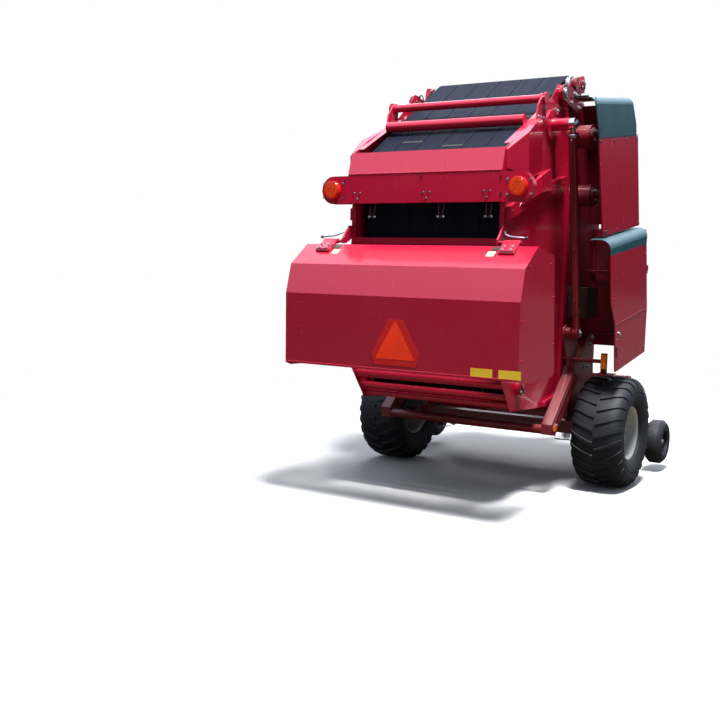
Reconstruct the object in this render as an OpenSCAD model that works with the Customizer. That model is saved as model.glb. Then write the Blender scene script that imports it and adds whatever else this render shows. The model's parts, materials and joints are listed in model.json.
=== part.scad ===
// Round baler with a belt chamber, towed and driven from the front by a drive shaft.
// X is across the machine, Y points the way it travels and Z is up, in millimetres.
// Lengths along the machine are measured from the hood's rear face and then centred.

/* [Chamber] */
// Clear width between the chamber's side walls
chamber_w = 1200; // [1100:10:1300]
// Thickness of the side walls
wall_t = 8; // [5:1:12]
// Thickness of the tailgate's side walls
gate_t = 4; // [3:0.5:6]
// Place of the tailgate's hinge along the machine
hinge_y = 1300; // [1280:5:1320]
// Diameter of the hinge pins
hinge_pin_d = 50; // [40:1:60]
// Gap between the tailgate and the fixed walls
split_gap = 12; // [8:1:20]

/* [Belts] */
// Number of belts side by side
belt_n = 6; // [4:1:7]
// Width of one belt
belt_w = 178; // [150:1:180]
// Distance from belt to belt
belt_pitch = 183; // [182:1:186]
// Thickness of a belt
belt_t = 6; // [4:0.5:8]
// Radius of the rollers that the belts run on
roller_r = 70; // [60:1:76]
// Diameter of the rollers' shafts
roller_shaft_d = 40; // [30:1:50]

/* [Tailgate] */
// Lowest point of the tailgate's walls
gate_low_z = 686; // [660:2:710]
// Height of the lamp beam's lower edge
beam_low_z = 2126; // [2110:2:2140]
// Height of the lamp beam's flat rear face
beam_face_h = 210; // [200:2:230]
// Place of the lamp beam's rear face
beam_y = 310; // [300:1:320]
// Half of the distance between the tail lamps
lamp_x = 729; // [715:1:740]
// Diameter of a tail lamp
lamp_d = 112; // [100:1:120]
// Depth of a tail lamp
lamp_depth = 38; // [30:1:50]
// Thickness of the tailgate's sheet metal
sheet_t = 3; // [2.5:0.5:5]
// Diameter of the upper tube above the belts
tube_d = 60; // [50:1:66]
// Diameter of the second tube above the belts
tube2_d = 76; // [60:1:80]

/* [Hood] */
// Half of the hood's width
hood_half = 908; // [890:2:920]
// Height of the hood's lower edge
hood_low_z = 968; // [955:1:980]
// Height of the fold at the top of the hood's rear face
hood_fold_z = 1474; // [1460:1:1485]
// Length of the hood's end plates along the machine
cheek_len = 620; // [600:2:640]
// Height of the warning triangle's centre
triangle_z = 1175; // [1150:1:1200]
// Side of the warning triangle
triangle_side = 365; // [340:1:380]

/* [Wheels] */
// Outer diameter of a road tyre
tyre_d = 874; // [860:1:880]
// Width of a road tyre
tyre_w = 400; // [380:2:410]
// Diameter of the rim's flange
rim_d = 418; // [405:1:430]
// Half of the distance between the wheels' middle planes
track_half = 950; // [945:1:965]
// Place of the axle along the machine
axle_y = 1800; // [1780:2:1820]
// Diameter of the axle's spindles
spindle_d = 60; // [50:1:66]
// Gap all round a shaft that turns in its bore
run_gap = 0.06; // [0.02:0.01:0.1]
// Side of the axle's square tube
axle_tube = 100; // [80:1:110]

/* [Covers] */
// Distance of the upper side covers from the middle of the machine
upper_x = 1000; // [990:1:1010]
// Distance of the lower side covers from the middle of the machine
lower_x = 1080; // [1070:1:1090]
// Place of the covers' front edge
cover_front_y = 2111; // [2105:1:2120]
// Height of the joint between upper and lower cover, at the front edge
joint_z = 2046; // [2040:1:2052]
// Thickness of the covers' sheet
cover_t = 5; // [4:0.5:8]

/* [Pickup] */
// Half of the width between the pickup's side plates
pickup_half = 800; // [780:1:820]
// Place of the reel's shaft along the machine
reel_y = 2590; // [2570:1:2610]
// Height of the reel's shaft
reel_z = 420; // [400:1:440]
// Radius of the reel out to the tips of its tines
tine_tip_r = 235; // [220:1:240]
// Number of strippers side by side
stripper_n = 23; // [16:1:26]
// Number of rows of tines
tine_rows = 4; // [3:1:5]
// Outer diameter of a gauge wheel
gauge_d = 370; // [350:1:380]
// Width of a gauge wheel
gauge_w = 150; // [130:1:160]

/* [Hitch] */
// Place of the drawbar's pin along the machine
pin_y = 4200; // [4150:5:4250]
// Height of the drawbar's clevis
pin_z = 520; // [500:1:540]
// Diameter of the drawbar's pin hole
pin_hole_d = 33; // [26:1:36]
// Side of the drawbar's square tube
drawbar_s = 120; // [100:1:130]
// Place of the parking jack along the machine
jack_y = 3720; // [3700:5:3760]
// Diameter of the jack's outer tube
jack_d = 70; // [60:1:80]

/* [Hidden] */
$fn = 48;

paint = "#9c0f2c";
dark_paint = "#6c0c1f";
teal = "#3f6b74";
black = "#1c1d20";
steel = "#9a9da1";
silver = "#c9ccd0";
orange = "#f0641e";

wall_x = chamber_w/2;
wall_out = wall_x + wall_t;
gate_out = wall_x + gate_t;
tyre_r = tyre_d/2;
axle_z = tyre_r;
clear = 0.3;
nose_r = 75;
nose_y = pin_y + nose_r;
clevis_len = 140;
bar_end = pin_y - clevis_len;
fold_back = 11;
rear_y = -fold_back;
mid_y = (nose_y + rear_y)/2;

rise = 8.2;
cover_gap = 12;
shell_in = 840;
lift_z = 640;
lift_x = 700;
lift_pin_d = 40;
back_y = 2342;
lift_back = 112;
lift_y = back_y - lift_back;
guard_y = 2460;
guard_z = 760;
guard_pin_d = 30;
door_knuckles = [1180, 1700];
axle_half = track_half - tyre_w/2 - 30;
hood_pin_d = 22;
box_y = 2285;
box_len = 420;
box_low = 1560;
box_top = 2040;
box_t = 4;
box_half = wall_x - clear;
panel_t = 6;
panel_low = [box_y, box_top + 60];
panel_top = [2195, 2440];
lid_pin_d = 12;
lid_eye_d = 2*lid_pin_d;
lid_axis = [box_y + lid_eye_d/4, box_top + lid_eye_d/2 + 1];
lid_eyes = [300, 400];
lid_ear = 20;
lamp_z = beam_low_z + beam_face_h/2 - 8;

module placed() translate([0, -mid_y, 0]) children();
module both_sides() {
  children();
  mirror([1, 0, 0]) children();
}
// An outline drawn along the machine and up, stood up as a plate from x to x + t.
module plate_yz(x, t) translate([x, 0, 0]) rotate([90, 0, 90]) linear_extrude(t) children();
// A cylinder across the machine from x = a to x = b.
module bar_x(a, b, y, z, d) translate([a, y, z]) rotate([0, 90, 0]) cylinder(h = b - a, d = d);
// A rod of diameter d from point p to point q.
module rod_pq(p, q, d) {
  v = q - p;
  len = norm(v);
  translate(p)
    rotate([0, acos(v[2]/len), atan2(v[1], v[0])]) cylinder(h = len, d = d);
}
// An arc of n steps round c, from angle a0 to a1.
function arc(c, r, a0, a1, n = 6) = [for (i = [0:n]) let (a = a0 + (a1 - a0)*i/n) c + r*[cos(a), sin(a)]];

// Rollers: [y, z]. The belts run round them.
top_roller = [1609, 3095];
gate_top = [507, 2409];
gate_low = [716, 846];
gate_in = [1225, 2820];
frame_in = [1580, 2700];
front_up = [2075, 2600];
front_low = [2115, 1075];
floor_rollers = [[1612, 800], [1832, 820]];
run_r = roller_r + belt_t + 1;

function unit(v) = v/norm(v);
// The two points where a belt leaves roller a and reaches roller b, on the left of its way (s = 1).
function tangent(a, b, s) =
  let (u = unit(b - a), n = [-u[1], u[0]]*s*(run_r - belt_t/2))
  [a + n, b + n];
function heading(run) = atan2((run[1] - run[0])[1], (run[1] - run[0])[0]);
// One side of a belt's outline: its first point, arcs [centre, first angle, last angle] and its last point.
function belt_side(first, wraps, last, r, e) =
  let (w = wraps[len(wraps) - 1])
  concat([first + e*[cos(wraps[0][1]), sin(wraps[0][1])]],
    [for (v = wraps) each arc(v[0], r, v[1], v[2], max(2, ceil(abs(v[2] - v[1])/15)))],
    [last + e*[cos(w[2]), sin(w[2])]]);
function turned(p) = [for (i = [len(p) - 1:-1:0]) p[i]];
module belt_outline(first, wraps, last) polygon(concat(belt_side(first, wraps, last, run_r, belt_t/2),
  turned(belt_side(first, wraps, last, run_r - belt_t, -belt_t/2))));
// Cuts each belt of the set from one outline drawn in the side view.
module belt_set() color(black) placed()
  for (i = [0:belt_n - 1])
    plate_yz((i - (belt_n - 1)/2)*belt_pitch - belt_w/2, belt_w) children();

outer_run = tangent(gate_top, top_roller, 1);
function on_outer(y) = outer_run[0]
  + (outer_run[1] - outer_run[0])*((y - outer_run[0][0])/(outer_run[1][0] - outer_run[0][0]));
// The tailgate turns about the belts' own line, so their ends part without a jump.
hinge_z = on_outer(hinge_y)[1];
rear_run = tangent(gate_top, gate_low, -1);
inner_run = tangent(gate_low, gate_in, -1);
front_run = tangent(top_roller, front_up, 1);
down_run = tangent(front_up, front_low, 1);
up_run = tangent(front_low, frame_in, 1);

belt_gap = 5;
module gate_belts() belt_set() belt_outline(on_outer(hinge_y - belt_gap),
  [[gate_top, 90 + heading(outer_run), 270 + heading(rear_run)],
   [gate_low, heading(rear_run) - 90, heading(inner_run) - 90]], inner_run[1]);
module frame_belts() belt_set() belt_outline(on_outer(hinge_y + belt_gap),
  [[top_roller, 90 + heading(outer_run), 90 + heading(front_run)],
   [front_up, 90 + heading(front_run), 90 + heading(down_run)],
   [front_low, 90 + heading(down_run), heading(up_run) - 270]], up_run[1]);

// A roller: a tube on a shaft, closed by an end plate each side.
roller_t = 4;
module roller(c, half = wall_x - 22) {
  difference() {
    bar_x(-half, half, c[0], c[1], 2*roller_r);
    bar_x(-half + 10, half - 10, c[0], c[1], 2*(roller_r - roller_t));
  }
  bar_x(-wall_x + clear, wall_x - clear, c[0], c[1], roller_shaft_d);
}
module gate_rollers() color(steel) placed()
  for (c = [gate_top, gate_low, gate_in]) roller(c);
module frame_rollers() color(steel) placed()
  for (c = concat([top_roller, frame_in, front_up, front_low], floor_rollers)) roller(c);

// The tailgate's front edge and the fixed walls' rear edge run side by side.
split_line = [[1530, 701], [1552, 2200], [1415, 2900]];
rib_t = 30;
boss_t = 22;
post_y = 373;
gate_rear = [[300, 1511], [345, 1011], [603, gate_low_z], [1170, 655]];
gate_crest = [[1400, 2990], [1350, 3046], [1256, 3050], [1205, 2990], [985, 2812], [360, 2488]];
gate_outline = concat(gate_rear, split_line, gate_crest,
  [[322, 2344], [post_y + 6.3, beam_low_z], [post_y + 6.3, 1885]]);
rib_low = [[396, 2009], [988, 2205], [1440, 2305]];
rib_h = 88;
// A rib folded out of the wall, with a slanting lower face.
module gate_rib() {
  plate_yz(gate_out, rib_t) polygon(concat(rib_low, [for (i = [2:-1:0]) rib_low[i] + [0, rib_h]]));
  plate_yz(gate_out, rib_t/2) polygon(concat(rib_low, [for (i = [2:-1:0]) rib_low[i] - [0, 30]]));
}
crest_w = 44;
// The crest's flange leans inwards over the belts' ends, with a folded stiffener along the front edge.
module gate_stiffeners() {
  plate_yz(wall_x - crest_w, crest_w)
    fold_strip(gate_crest[5] + 0.12*(gate_crest[4] - gate_crest[5]), gate_crest[4], gate_t);
  plate_yz(gate_out, 26) polygon([split_line[0] + [-44, 20], split_line[0] + [0, 20], split_line[1], split_line[2],
    split_line[2] + [-40, -20], split_line[1] + [-44, 0]]);
  plate_yz(gate_out, 26) polygon([[1180, 660], [1500, 705], [1500, 740], [1180, 696]]);
}
module gate_walls() color(paint) placed() both_sides() difference() {
  union() {
    plate_yz(wall_x, gate_t) polygon(gate_outline);
    gate_rib();
    gate_stiffeners();
    bar_x(gate_out, wall_out + boss_t, hinge_y, hinge_z, 2*hinge_pin_d);
    for (c = [gate_top, gate_low]) bar_x(gate_out, gate_out + 35, c[0], c[1], 110);
    ram_lug();
  }
  bar_x(wall_x - 1, wall_out + 40, hinge_y, hinge_z, hinge_pin_d + 2*run_gap);
}

// The rams stand between the walls and the side covers.
ram_x = 770;
ram_low = [1410, 1216];
ram_top = [1146, 2735];
ram_pin_d = 36;
ram_d = 60;
rod_d = 38;
eye_w = 40;
ram_in = ram_x - eye_w/2 - clear;
ram_len = norm(ram_top - ram_low);
ram_lean = atan2((ram_low - ram_top)[0], (ram_top - ram_low)[1]);
// The rod shows this much outside its barrel when the tailgate is shut, rounded up to a whole millimetre.
rod_shows = 61;
barrel_len = floor(ram_len - rod_shows);
// Stands out from the tailgate's wall and ends beside the eye of the ram's rod.
module ram_lug() {
  plate_yz(gate_out, 16) polygon(concat(arc(ram_top, 110, -100, 80, 8), arc(ram_top, 110, 100, 240, 8)));
  bar_x(gate_out, ram_in, ram_top[0], ram_top[1], 90);
}
module ram_side(s) translate([s*ram_x, ram_low[0], ram_low[1]]) rotate([ram_lean, 0, 0]) children();
module barrel(s) color(dark_paint) placed() ram_side(s) difference() {
  union() {
    cylinder(h = barrel_len, d = ram_d);
    translate([0, 0, barrel_len - 60]) cylinder(h = 60, d = ram_d + 14);
    bar_x(-eye_w/2, eye_w/2, 0, 0, 84);
  }
  bar_x(-eye_w, eye_w, 0, 0, ram_pin_d + 2*run_gap);
  translate([0, 0, 90]) cylinder(h = barrel_len - 130, d = ram_d - 14);
  translate([0, 0, barrel_len - 50]) cylinder(h = 60, d = rod_d + 2*run_gap);
}
// The rod carries its own pin, so its eye may drift beside the lug as the ram follows the tailgate.
module rod(s) color(silver) placed() ram_side(s) {
  translate([0, 0, 700]) cylinder(h = ram_len - 700 - 30, d = rod_d);
  bar_x(-eye_w/2, eye_w/2, 0, ram_len, 84);
  mirror_side(s) bar_x(eye_w/2, eye_w/2 + 12, 0, ram_len, ram_pin_d);
}
module barrel_left() barrel(-1);
module barrel_right() barrel(1);
module rod_left() rod(-1);
module rod_right() rod(1);

split_crest = [[1418, 2992], [1445, 3050], [1520, 3122], [1600, 3154], [1665, 3135], [1735, 3045]];
wall_front = [[2153, 2651], [2300, 2096], [2320, 974], [2223, 732]];
fixed_outline = concat([for (p = split_line) p + [split_gap, 0]], split_crest, wall_front, [[1700, 651]]);
housing_d = 170;
// Round housings that stand out from the wall: the inner roller's and the tension arm's bearings.
bearing_housings = [frame_in, [1650, 2262]];
module chamber_walls() color(paint) placed() both_sides() {
  plate_yz(wall_x, wall_t) polygon(fixed_outline);
  for (c = [top_roller, front_up, front_low, floor_rollers[0]]) bar_x(wall_out, wall_out + boss_t, c[0], c[1], 120);
  for (c = bearing_housings) {
    bar_x(wall_out, 770, c[0], c[1], housing_d);
    bar_x(770, 790, c[0], c[1], housing_d - 40);
  }
}
lug_x = wall_out + boss_t + 1;
module roof_arms() color(dark_paint) placed() both_sides() {
  plate_yz(lug_x, 12) polygon(concat(arc([hinge_y, hinge_z], 60, 90, 270, 8), [[1560, 2880], [1670, 2960], [1580, 3035]]));
  plate_yz(wall_out, lug_x - wall_out) polygon([[1455, 2930], [1580, 2930], [1580, 3000], [1455, 3000]]);
  bar_x(wall_x - 8, lug_x, hinge_y, hinge_z, hinge_pin_d);
}

leg_top = [1880, 1160];
leg_low = [1130, 500];
leg_x = 650;
leg_w = 80;
leg_deep = 120;
frame_plate = [[1684, 950], [2250, 950], [lift_y + 50, lift_z + 10], [lift_y, lift_z - 55],
  [axle_y + 110, axle_z + axle_tube/2], [axle_y - 110, axle_z + axle_tube/2]];
cross_y = 2210;
deck_z = 1030;
side_lamp = [945, 1566, 998];
module main_frame() color(dark_paint) placed() {
  box_tube_x(axle_half, axle_y, axle_z, axle_tube);
  both_sides() {
    plate_yz(wall_out, 20) polygon(frame_plate);
    leg();
    ram_foot();
    bar_x(wall_out, lift_x + 30, lift_y, lift_z, lift_pin_d);
    bar_x(wall_out, lift_x - 2, lift_y, lift_z, 80);
    bar_x(wall_out, side_lamp[0], side_lamp[1] + 21, side_lamp[2], 30);
    translate(side_lamp + [-25, 0, -95]) cube([50, 6, 160]);
    translate(side_lamp + [-70, -60, -100]) cube([130, 190, 5]);
  }
  tube_x(leg_x + leg_w, leg_low[0], leg_low[1], 70);
  box_tube_x(wall_x, cross_y + 50, deck_z, 100);
}
// A leg leans from the low cross tube up to the wall: a box beam with a foot plate at its top.
module leg() {
  u = unit(leg_top - leg_low);
  n = [-u[1], u[0]]*leg_deep/2;
  difference() {
    plate_yz(leg_x, leg_w) polygon([leg_low + n, leg_top + n, leg_top + u*50, leg_top - n, leg_low - n, leg_low - u*50]);
    plate_yz(leg_x + 7, leg_w - 14) polygon([leg_low + n*0.88, leg_top + n*0.88, leg_top - n*0.88, leg_low - n*0.88]);
  }
  bar_x(wall_out, leg_x, leg_top[0], leg_top[1], 110);
  plate_yz(wall_out, leg_x - wall_out) polygon([[1690, 940], [1770, 940], [1770, 1050], [1690, 1050]]);
}
// Carries the ram's lower pin above the leg.
module ram_foot() {
  foot = [[1505, 860], [1740, 1066], [1560, 1235], [1440, 1272]];
  plate_yz(leg_x + 33, 14) polygon(concat(foot, arc(ram_low, 58, 70, 200, 6)));
  bar_x(leg_x + 33, ram_x + eye_w/2 + 12, ram_low[0], ram_low[1], ram_pin_d);
  bar_x(leg_x + 47, ram_x - ram_d/2 - 6, ram_low[0], ram_low[1], 84);
}
// Sheet cover over the tailgate's valves, open towards the wall.
valve_low = [1650, 1318];
valve_size = [262, 238];
module valve_box() color(black) placed() difference() {
  translate([wall_out + clear, valve_low[0], valve_low[1]]) cube([150, valve_size[0], valve_size[1]]);
  translate([wall_out - 1, valve_low[0] + 4, valve_low[1] + 4]) cube([147, valve_size[0] - 8, valve_size[1] - 8]);
}
// Sheets that close the front between the walls and the side covers.
shield_y = 2196;
module front_shields() color(paint) placed() {
  both_sides() {
    translate([wall_out + clear, shield_y, 1080]) cube([425, 4, 950]);
    translate([wall_out + clear, shield_y - 16, 1080]) cube([30, 16, 950]);
    plate_yz(wall_out + clear, 362) fold_strip([2092, 2064], [1943, 2736], 4);
  }
  plate_yz(wall_out + clear, 362) fold_strip([1943, 2736], [1768, 2960], 4);
}
tube_t = 8;
// A square tube across the machine, from x = -half to x = half.
module tube_x(half, y, z, d) difference() {
  bar_x(-half, half, y, z, d);
  bar_x(-half + 12, half - 12, y, z, d - 12);
}
module box_tube_x(half, y, z, s) difference() {
  translate([-half, y - s/2, z - s/2]) cube([2*half, s, s]);
  translate([-half + 20, y - s/2 + tube_t, z - s/2 + tube_t]) cube([2*half - 40, s - 2*tube_t, s - 2*tube_t]);
}
// Rails and arms that carry the side covers' hinges.
rail_d = 24;
rail_x = shell_in - rail_d/2 - 0.5;
// Height of the upper cover's top over a place along the machine, and of the rail beside it.
function shell_top(y) = 2883 + (y - 929)*tan(rise);
function rail_z(y) = shell_top(y) - cover_t/2;
door_y = 2159;
door_x = lower_x - 18;
door_pin_d = 14;
// The left upper cover hangs from a rail along its sloping top edge.
left_crest = [[1440, 2650], [1960, 2740]];
left_x = upper_x - cover_t/2;
left_slope = (left_crest[1] - left_crest[0])[1]/(left_crest[1] - left_crest[0])[0];
function left_rail(y) = [y, left_crest[0][1] + (y - left_crest[0][0])*left_slope
  + (rail_d/2 + 0.5)*sqrt(1 + left_slope*left_slope)];
module cover_arms() color(dark_paint) placed() {
  rod_pq([rail_x, 935, rail_z(935)], [rail_x, 1740, rail_z(1740)], rail_d);
  bar_x(lug_x + 12, rail_x, 1500, rail_z(1500), 20);
  bar_x(wall_out, rail_x, 1700, rail_z(1700), 20);
  mirror([1, 0, 0]) {
    rod_pq(concat(left_x, left_rail(1460)), concat(left_x, left_rail(1920)), rail_d);
    for (y = [1720, 1900]) bar_x(wall_out, left_x, y, left_rail(y)[1], 20);
  }
  both_sides() for (z = door_knuckles) door_post(door_x, door_y, z);
}
// An arm from the wall with the pin that one of a door's knuckles turns on.
module door_post(x, y, z) {
  bar_x(wall_out, x, y, z - 14, 20);
  translate([x, y, z - 24]) cylinder(h = 23.5, d = 20);
  translate([x, y, z - 14]) cylinder(h = 60, d = door_pin_d);
}
module door_knuckle(x, y, z, reach) difference() {
  union() {
    translate([x, y, z]) cylinder(h = 44, d = 28);
    translate([x + 5, y - reach, z]) cube([8.5, reach, 44]);
  }
  translate([x, y, z - 1]) cylinder(h = 46, d = door_pin_d + 2*run_gap);
}
module axle_spindles() color(steel) placed() both_sides()
  bar_x(axle_half, track_half + 84, axle_y, axle_z, spindle_d);

// A road tyre's section: [radius, distance from its middle plane], outer half.
half_w = tyre_w/2;
seat_r = rim_d/2 - 12;
tread = [[tyre_r, 0], [tyre_r, half_w - 130], [tyre_r - 5, half_w - 80], [tyre_r - 16, half_w - 44],
  [tyre_r - 46, half_w - 12], [tyre_r - 95, half_w], [tyre_r - 140, half_w - 2], [seat_r + 40, half_w - 22],
  [seat_r + 22, half_w - 44], [rim_d/2 + 2, half_w - 52.5], [seat_r, half_w - 62]];
tyre_inside = [[seat_r, half_w - 80], [seat_r + 40, half_w - 44], [tyre_r - 90, half_w - 20], [tyre_r - 44, half_w - 46],
  [tyre_r - 30, half_w - 120]];
function flip(p) = [for (i = [len(p) - 1:-1:0]) [p[i][0], -p[i][1]]];
module at_wheel(s) translate([s*track_half, axle_y, axle_z]) rotate([0, 90*s, 0]) children();
module tyre(s) color(black) placed() at_wheel(s) rotate_extrude($fn = 72)
  polygon(concat(tread, tyre_inside, flip(tyre_inside), flip(tread)));
module tyre_left() tyre(-1);
module tyre_right() tyre(1);
module rim(s) color(silver) placed() at_wheel(s) rotate_extrude($fn = 72)
  polygon([[spindle_d/2 + run_gap, -40], [75, -40], [75, 20], [seat_r - 60, 48], [seat_r - 10, 60], [seat_r - 10, -half_w + 62],
    [rim_d/2, -half_w + 44], [rim_d/2, -half_w + 50], [seat_r - 0.3, -half_w + 60], [seat_r - 0.3, half_w - 60],
    [rim_d/2, half_w - 50], [rim_d/2, half_w - 44], [seat_r - 10, half_w - 62], [seat_r - 10, 68], [seat_r - 64, 56],
    [70, 30], [70, 90], [spindle_d/2 + run_gap, 90]]);
module rim_left() rim(-1);
module rim_right() rim(1);

// Lamp beam: sheet bent along the machine's width, with the lamps' housings at its ends.
beam_top_z = beam_low_z + beam_face_h;
slope_top = [352, 2490];
housing_r = 100;
module gate_beam() color(paint) placed() {
  for (run = [[[post_y, beam_low_z], [beam_y, beam_low_z]], [[beam_y, beam_low_z], [beam_y, beam_top_z]],
    [[beam_y, beam_top_z], slope_top]])
    translate([-gate_out, 0, 0]) rotate([90, 0, 90]) linear_extrude(2*gate_out) fold_strip(run[0], run[1], sheet_t);
  translate([-wall_x, 0, 0]) rotate([90, 0, 90]) linear_extrude(2*wall_x)
    fold_strip(slope_top, slope_top + [60, -20], sheet_t);
  translate([-wall_x, post_y, 1840]) cube([2*wall_x, 60, 45]);
  both_sides() {
    plate_yz(gate_out - 34, 34) polygon([[post_y, 1884], [post_y + 6, 1884], [post_y + 6, beam_low_z + 1],
      [post_y, beam_low_z + 1]]);
    difference() {
      union() {
        translate([lamp_x, beam_y + 60, lamp_z]) rotate([90, 0, 0]) cylinder(h = 60, r = housing_r);
        translate([gate_out, beam_y, lamp_z - housing_r]) cube([lamp_x - gate_out, 60, 2*housing_r]);
      }
      translate([lamp_x, beam_y + 61, lamp_z]) rotate([90, 0, 0]) cylinder(h = 57, r = housing_r - sheet_t);
      translate([gate_out + sheet_t, beam_y + sheet_t, lamp_z - housing_r + sheet_t])
        cube([lamp_x - gate_out, 60, 2*(housing_r - sheet_t)]);
    }
  }
}
module fold_strip(p, q, t) {
  u = unit(q - p);
  n = [u[1], -u[0]]*t;
  polygon([p, q, q + n, p + n]);
}
module tail_lamps() color(orange) placed() both_sides()
  translate([lamp_x, beam_y - clear, lamp_z]) rotate([90, 0, 0]) cylinder(h = lamp_depth, d = lamp_d);

// The cross tubes keep these distances from the knee of the walls' upper edge.
knee = gate_crest[4];
tube_back = 23;
tube_rise = 84;
tube_y = knee[0] - tube_back;
tube_z = knee[1] + tube_rise;
tube2_back = 213;
tube2_drop = 86;
tube2_y = knee[0] - tube2_back;
tube2_z = knee[1] - tube2_drop;
low_tubes = [[590, 783, 48], [641, 722, 48], [508, 879, 60]];
module gate_tubes() color(dark_paint) placed() {
  tube_x(wall_x + 26, tube_y, tube_z, tube_d);
  tube_x(wall_x - crest_w - clear, tube2_y, tube2_z, tube2_d);
  for (t = low_tubes) tube_x(wall_x - clear, t[0], t[1], t[2]);
  both_sides() {
    plate_yz(wall_x + 26, 12) polygon(arc([tube_y, tube_z], 46, 0, 330, 11));
    plate_yz(gate_out, 12) polygon([[tube_y - 120, tube_z - 160], [tube_y + 40, tube_z - 150],
      [tube_y + 46, tube_z + 20], [tube_y - 20, tube_z + 34], [tube_y - 100, tube_z - 60]]);
  }
}

hood_points = [[0, hood_low_z], [-fold_back, hood_fold_z], [45, 1684], [248, 1830]];
hood_hinge = [278, 1854];
module hood_sheet() for (i = [0:2])
  translate([-hood_half, 0, 0]) rotate([90, 0, 90]) linear_extrude(2*hood_half)
    fold_strip(hood_points[i], hood_points[i + 1], sheet_t);
cheek = [[2, hood_low_z], [-9, hood_fold_z], [47, 1683], [248, 1828], [cheek_len - 100, 1782], [cheek_len - 84, 1760],
  [cheek_len, 992], [cheek_len - 25, 962], [380, 940], [60, 948]];
module hood() color(paint) placed() {
  hood_sheet();
  both_sides() {
    plate_yz(hood_half - sheet_t, sheet_t) polygon(cheek);
    difference() {
      union() {
        plate_yz(655, 120) polygon([[160, 1758], [190, 1802], hood_hinge + [-14, 10], hood_hinge + [-14, -10], [242, 1822]]);
        bar_x(655, 775, hood_hinge[0], hood_hinge[1], 36);
      }
      bar_x(654, 776, hood_hinge[0], hood_hinge[1], hood_pin_d + 2*run_gap);
    }
  }
  translate([-hood_half + 1, 3, hood_low_z]) cube([2*hood_half - 2, 40, sheet_t]);
}
module hood_hinges() color(paint) placed() both_sides() {
  bar_x(gate_out, 780, hood_hinge[0], hood_hinge[1], hood_pin_d);
  plate_yz(gate_out, 14) polygon([[258, 1838], [300, 1838], [390, 1880], [440, 1892], [440, 1970], [350, 1970], [258, 1870]]);
}
// The triangle lies on the hood's leaning rear face.
hood_lean = atan(fold_back/(hood_fold_z - hood_low_z));
module warning_triangle() color(orange) placed()
  translate([0, -tan(hood_lean)*(triangle_z - hood_low_z) - clear, triangle_z]) rotate([90 + hood_lean, 0, 0])
  linear_extrude(2) polygon([for (k = [0:2]) for (e = [-18, 18])
    let (a = 90 + 120*k, r = triangle_side/2) r*[cos(a), sin(a)] + e*[-sin(a), cos(a)]]);

module mirror_side(s) {
  if (s > 0) children();
  if (s < 0) mirror([1, 0, 0]) children();
}

// Side covers: an upper and a lower one on each side, hinged along their front edge.
shell_round = 52;
upper_low = [1243, 1932];
upper_rear = [1057, 2611];
upper_front = [1960, 2740];
upper_corner = [cover_front_y, joint_z + cover_gap];
// The shell's own front and rear ends, which lean away from each other.
shell_rear = [929, 2883];
shell_front = [1771, 3004];
module upper_panel_right() color(paint) placed()
  plate_yz(upper_x - cover_t, cover_t) polygon([upper_low, upper_rear, upper_front, upper_corner]);
module upper_shell_right() color(teal) placed() {
  c = [upper_x - shell_round, shell_top(1000)*cos(rise) - shell_round];
  intersection() {
    plate_yz(0, 2*upper_x) polygon([upper_rear, shell_rear, [900, 3100], [1700, 3200], shell_front, upper_front]);
    translate([0, 1000, 0]) rotate([rise, 0, 0]) translate([0, 1300, 0]) rotate([90, 0, 0]) linear_extrude(1700)
      polygon(concat([[upper_x, 2200]], arc(c, shell_round, 0, 90, 6), [[shell_in, c[1] + shell_round]],
        [[shell_in, c[1] + shell_round - cover_t]], arc(c, shell_round - cover_t, 90, 0, 6),
        [[upper_x - cover_t, 2200]]));
  }
}
// The left side has no shell: its upper cover ends in a slope towards the rear.
module upper_panel_left() color(paint) placed() mirror([1, 0, 0])
  plate_yz(upper_x - cover_t, cover_t) polygon([upper_low, [1120, 2360], left_crest[0], left_crest[1], upper_corner]);

lower_rear = [[1192, 1794], [1262, 1449], [1375, 1292], [1431, 940]];
lower_front = [[2162, 1051], [2168, 1405], [2067, 1909]];
module lower_panel(s) color(paint) placed() mirror_side(s) {
  plate_yz(lower_x - cover_t, cover_t) polygon(concat(lower_rear, lower_front));
  for (z = door_knuckles) door_knuckle(door_x, door_y, z, 140);
}
band_round = 70;
band_top = 1885;
module lower_band(s) color(teal) placed() mirror_side(s) {
  c = [lower_x - band_round, band_top*cos(rise) - band_round];
  intersection() {
    plate_yz(0, 2*lower_x) polygon([lower_rear[0], [1165, 1915], [cover_front_y - 25, joint_z + 20],
      lower_front[2]]);
    translate([0, 1000, 0]) rotate([rise, 0, 0]) translate([0, 1400, 0]) rotate([90, 0, 0]) linear_extrude(1600)
      polygon(concat([[lower_x, 1500]], arc(c, band_round, 0, 90, 5), [[lower_x - 150, c[1] + band_round]],
        [[lower_x - 150, c[1] + band_round - cover_t]], arc(c, band_round - cover_t, 90, 0, 5),
        [[lower_x - cover_t, 1500]]));
  }
}
module lower_panel_left() lower_panel(-1);
module lower_panel_right() lower_panel(1);
module lower_band_left() lower_band(-1);
module lower_band_right() lower_band(1);

lamp_oblong = [40, 22, 110];
module side_lamps() color(orange) placed() both_sides() {
  translate(side_lamp + [-lamp_oblong[0]/2, -lamp_oblong[1] - clear, -lamp_oblong[2]/2]) cube(lamp_oblong);
  translate([leg_x + leg_w + clear, leg_low[0] - 5, leg_low[1] - 10]) cube([5, 60, 50]);
}

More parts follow.
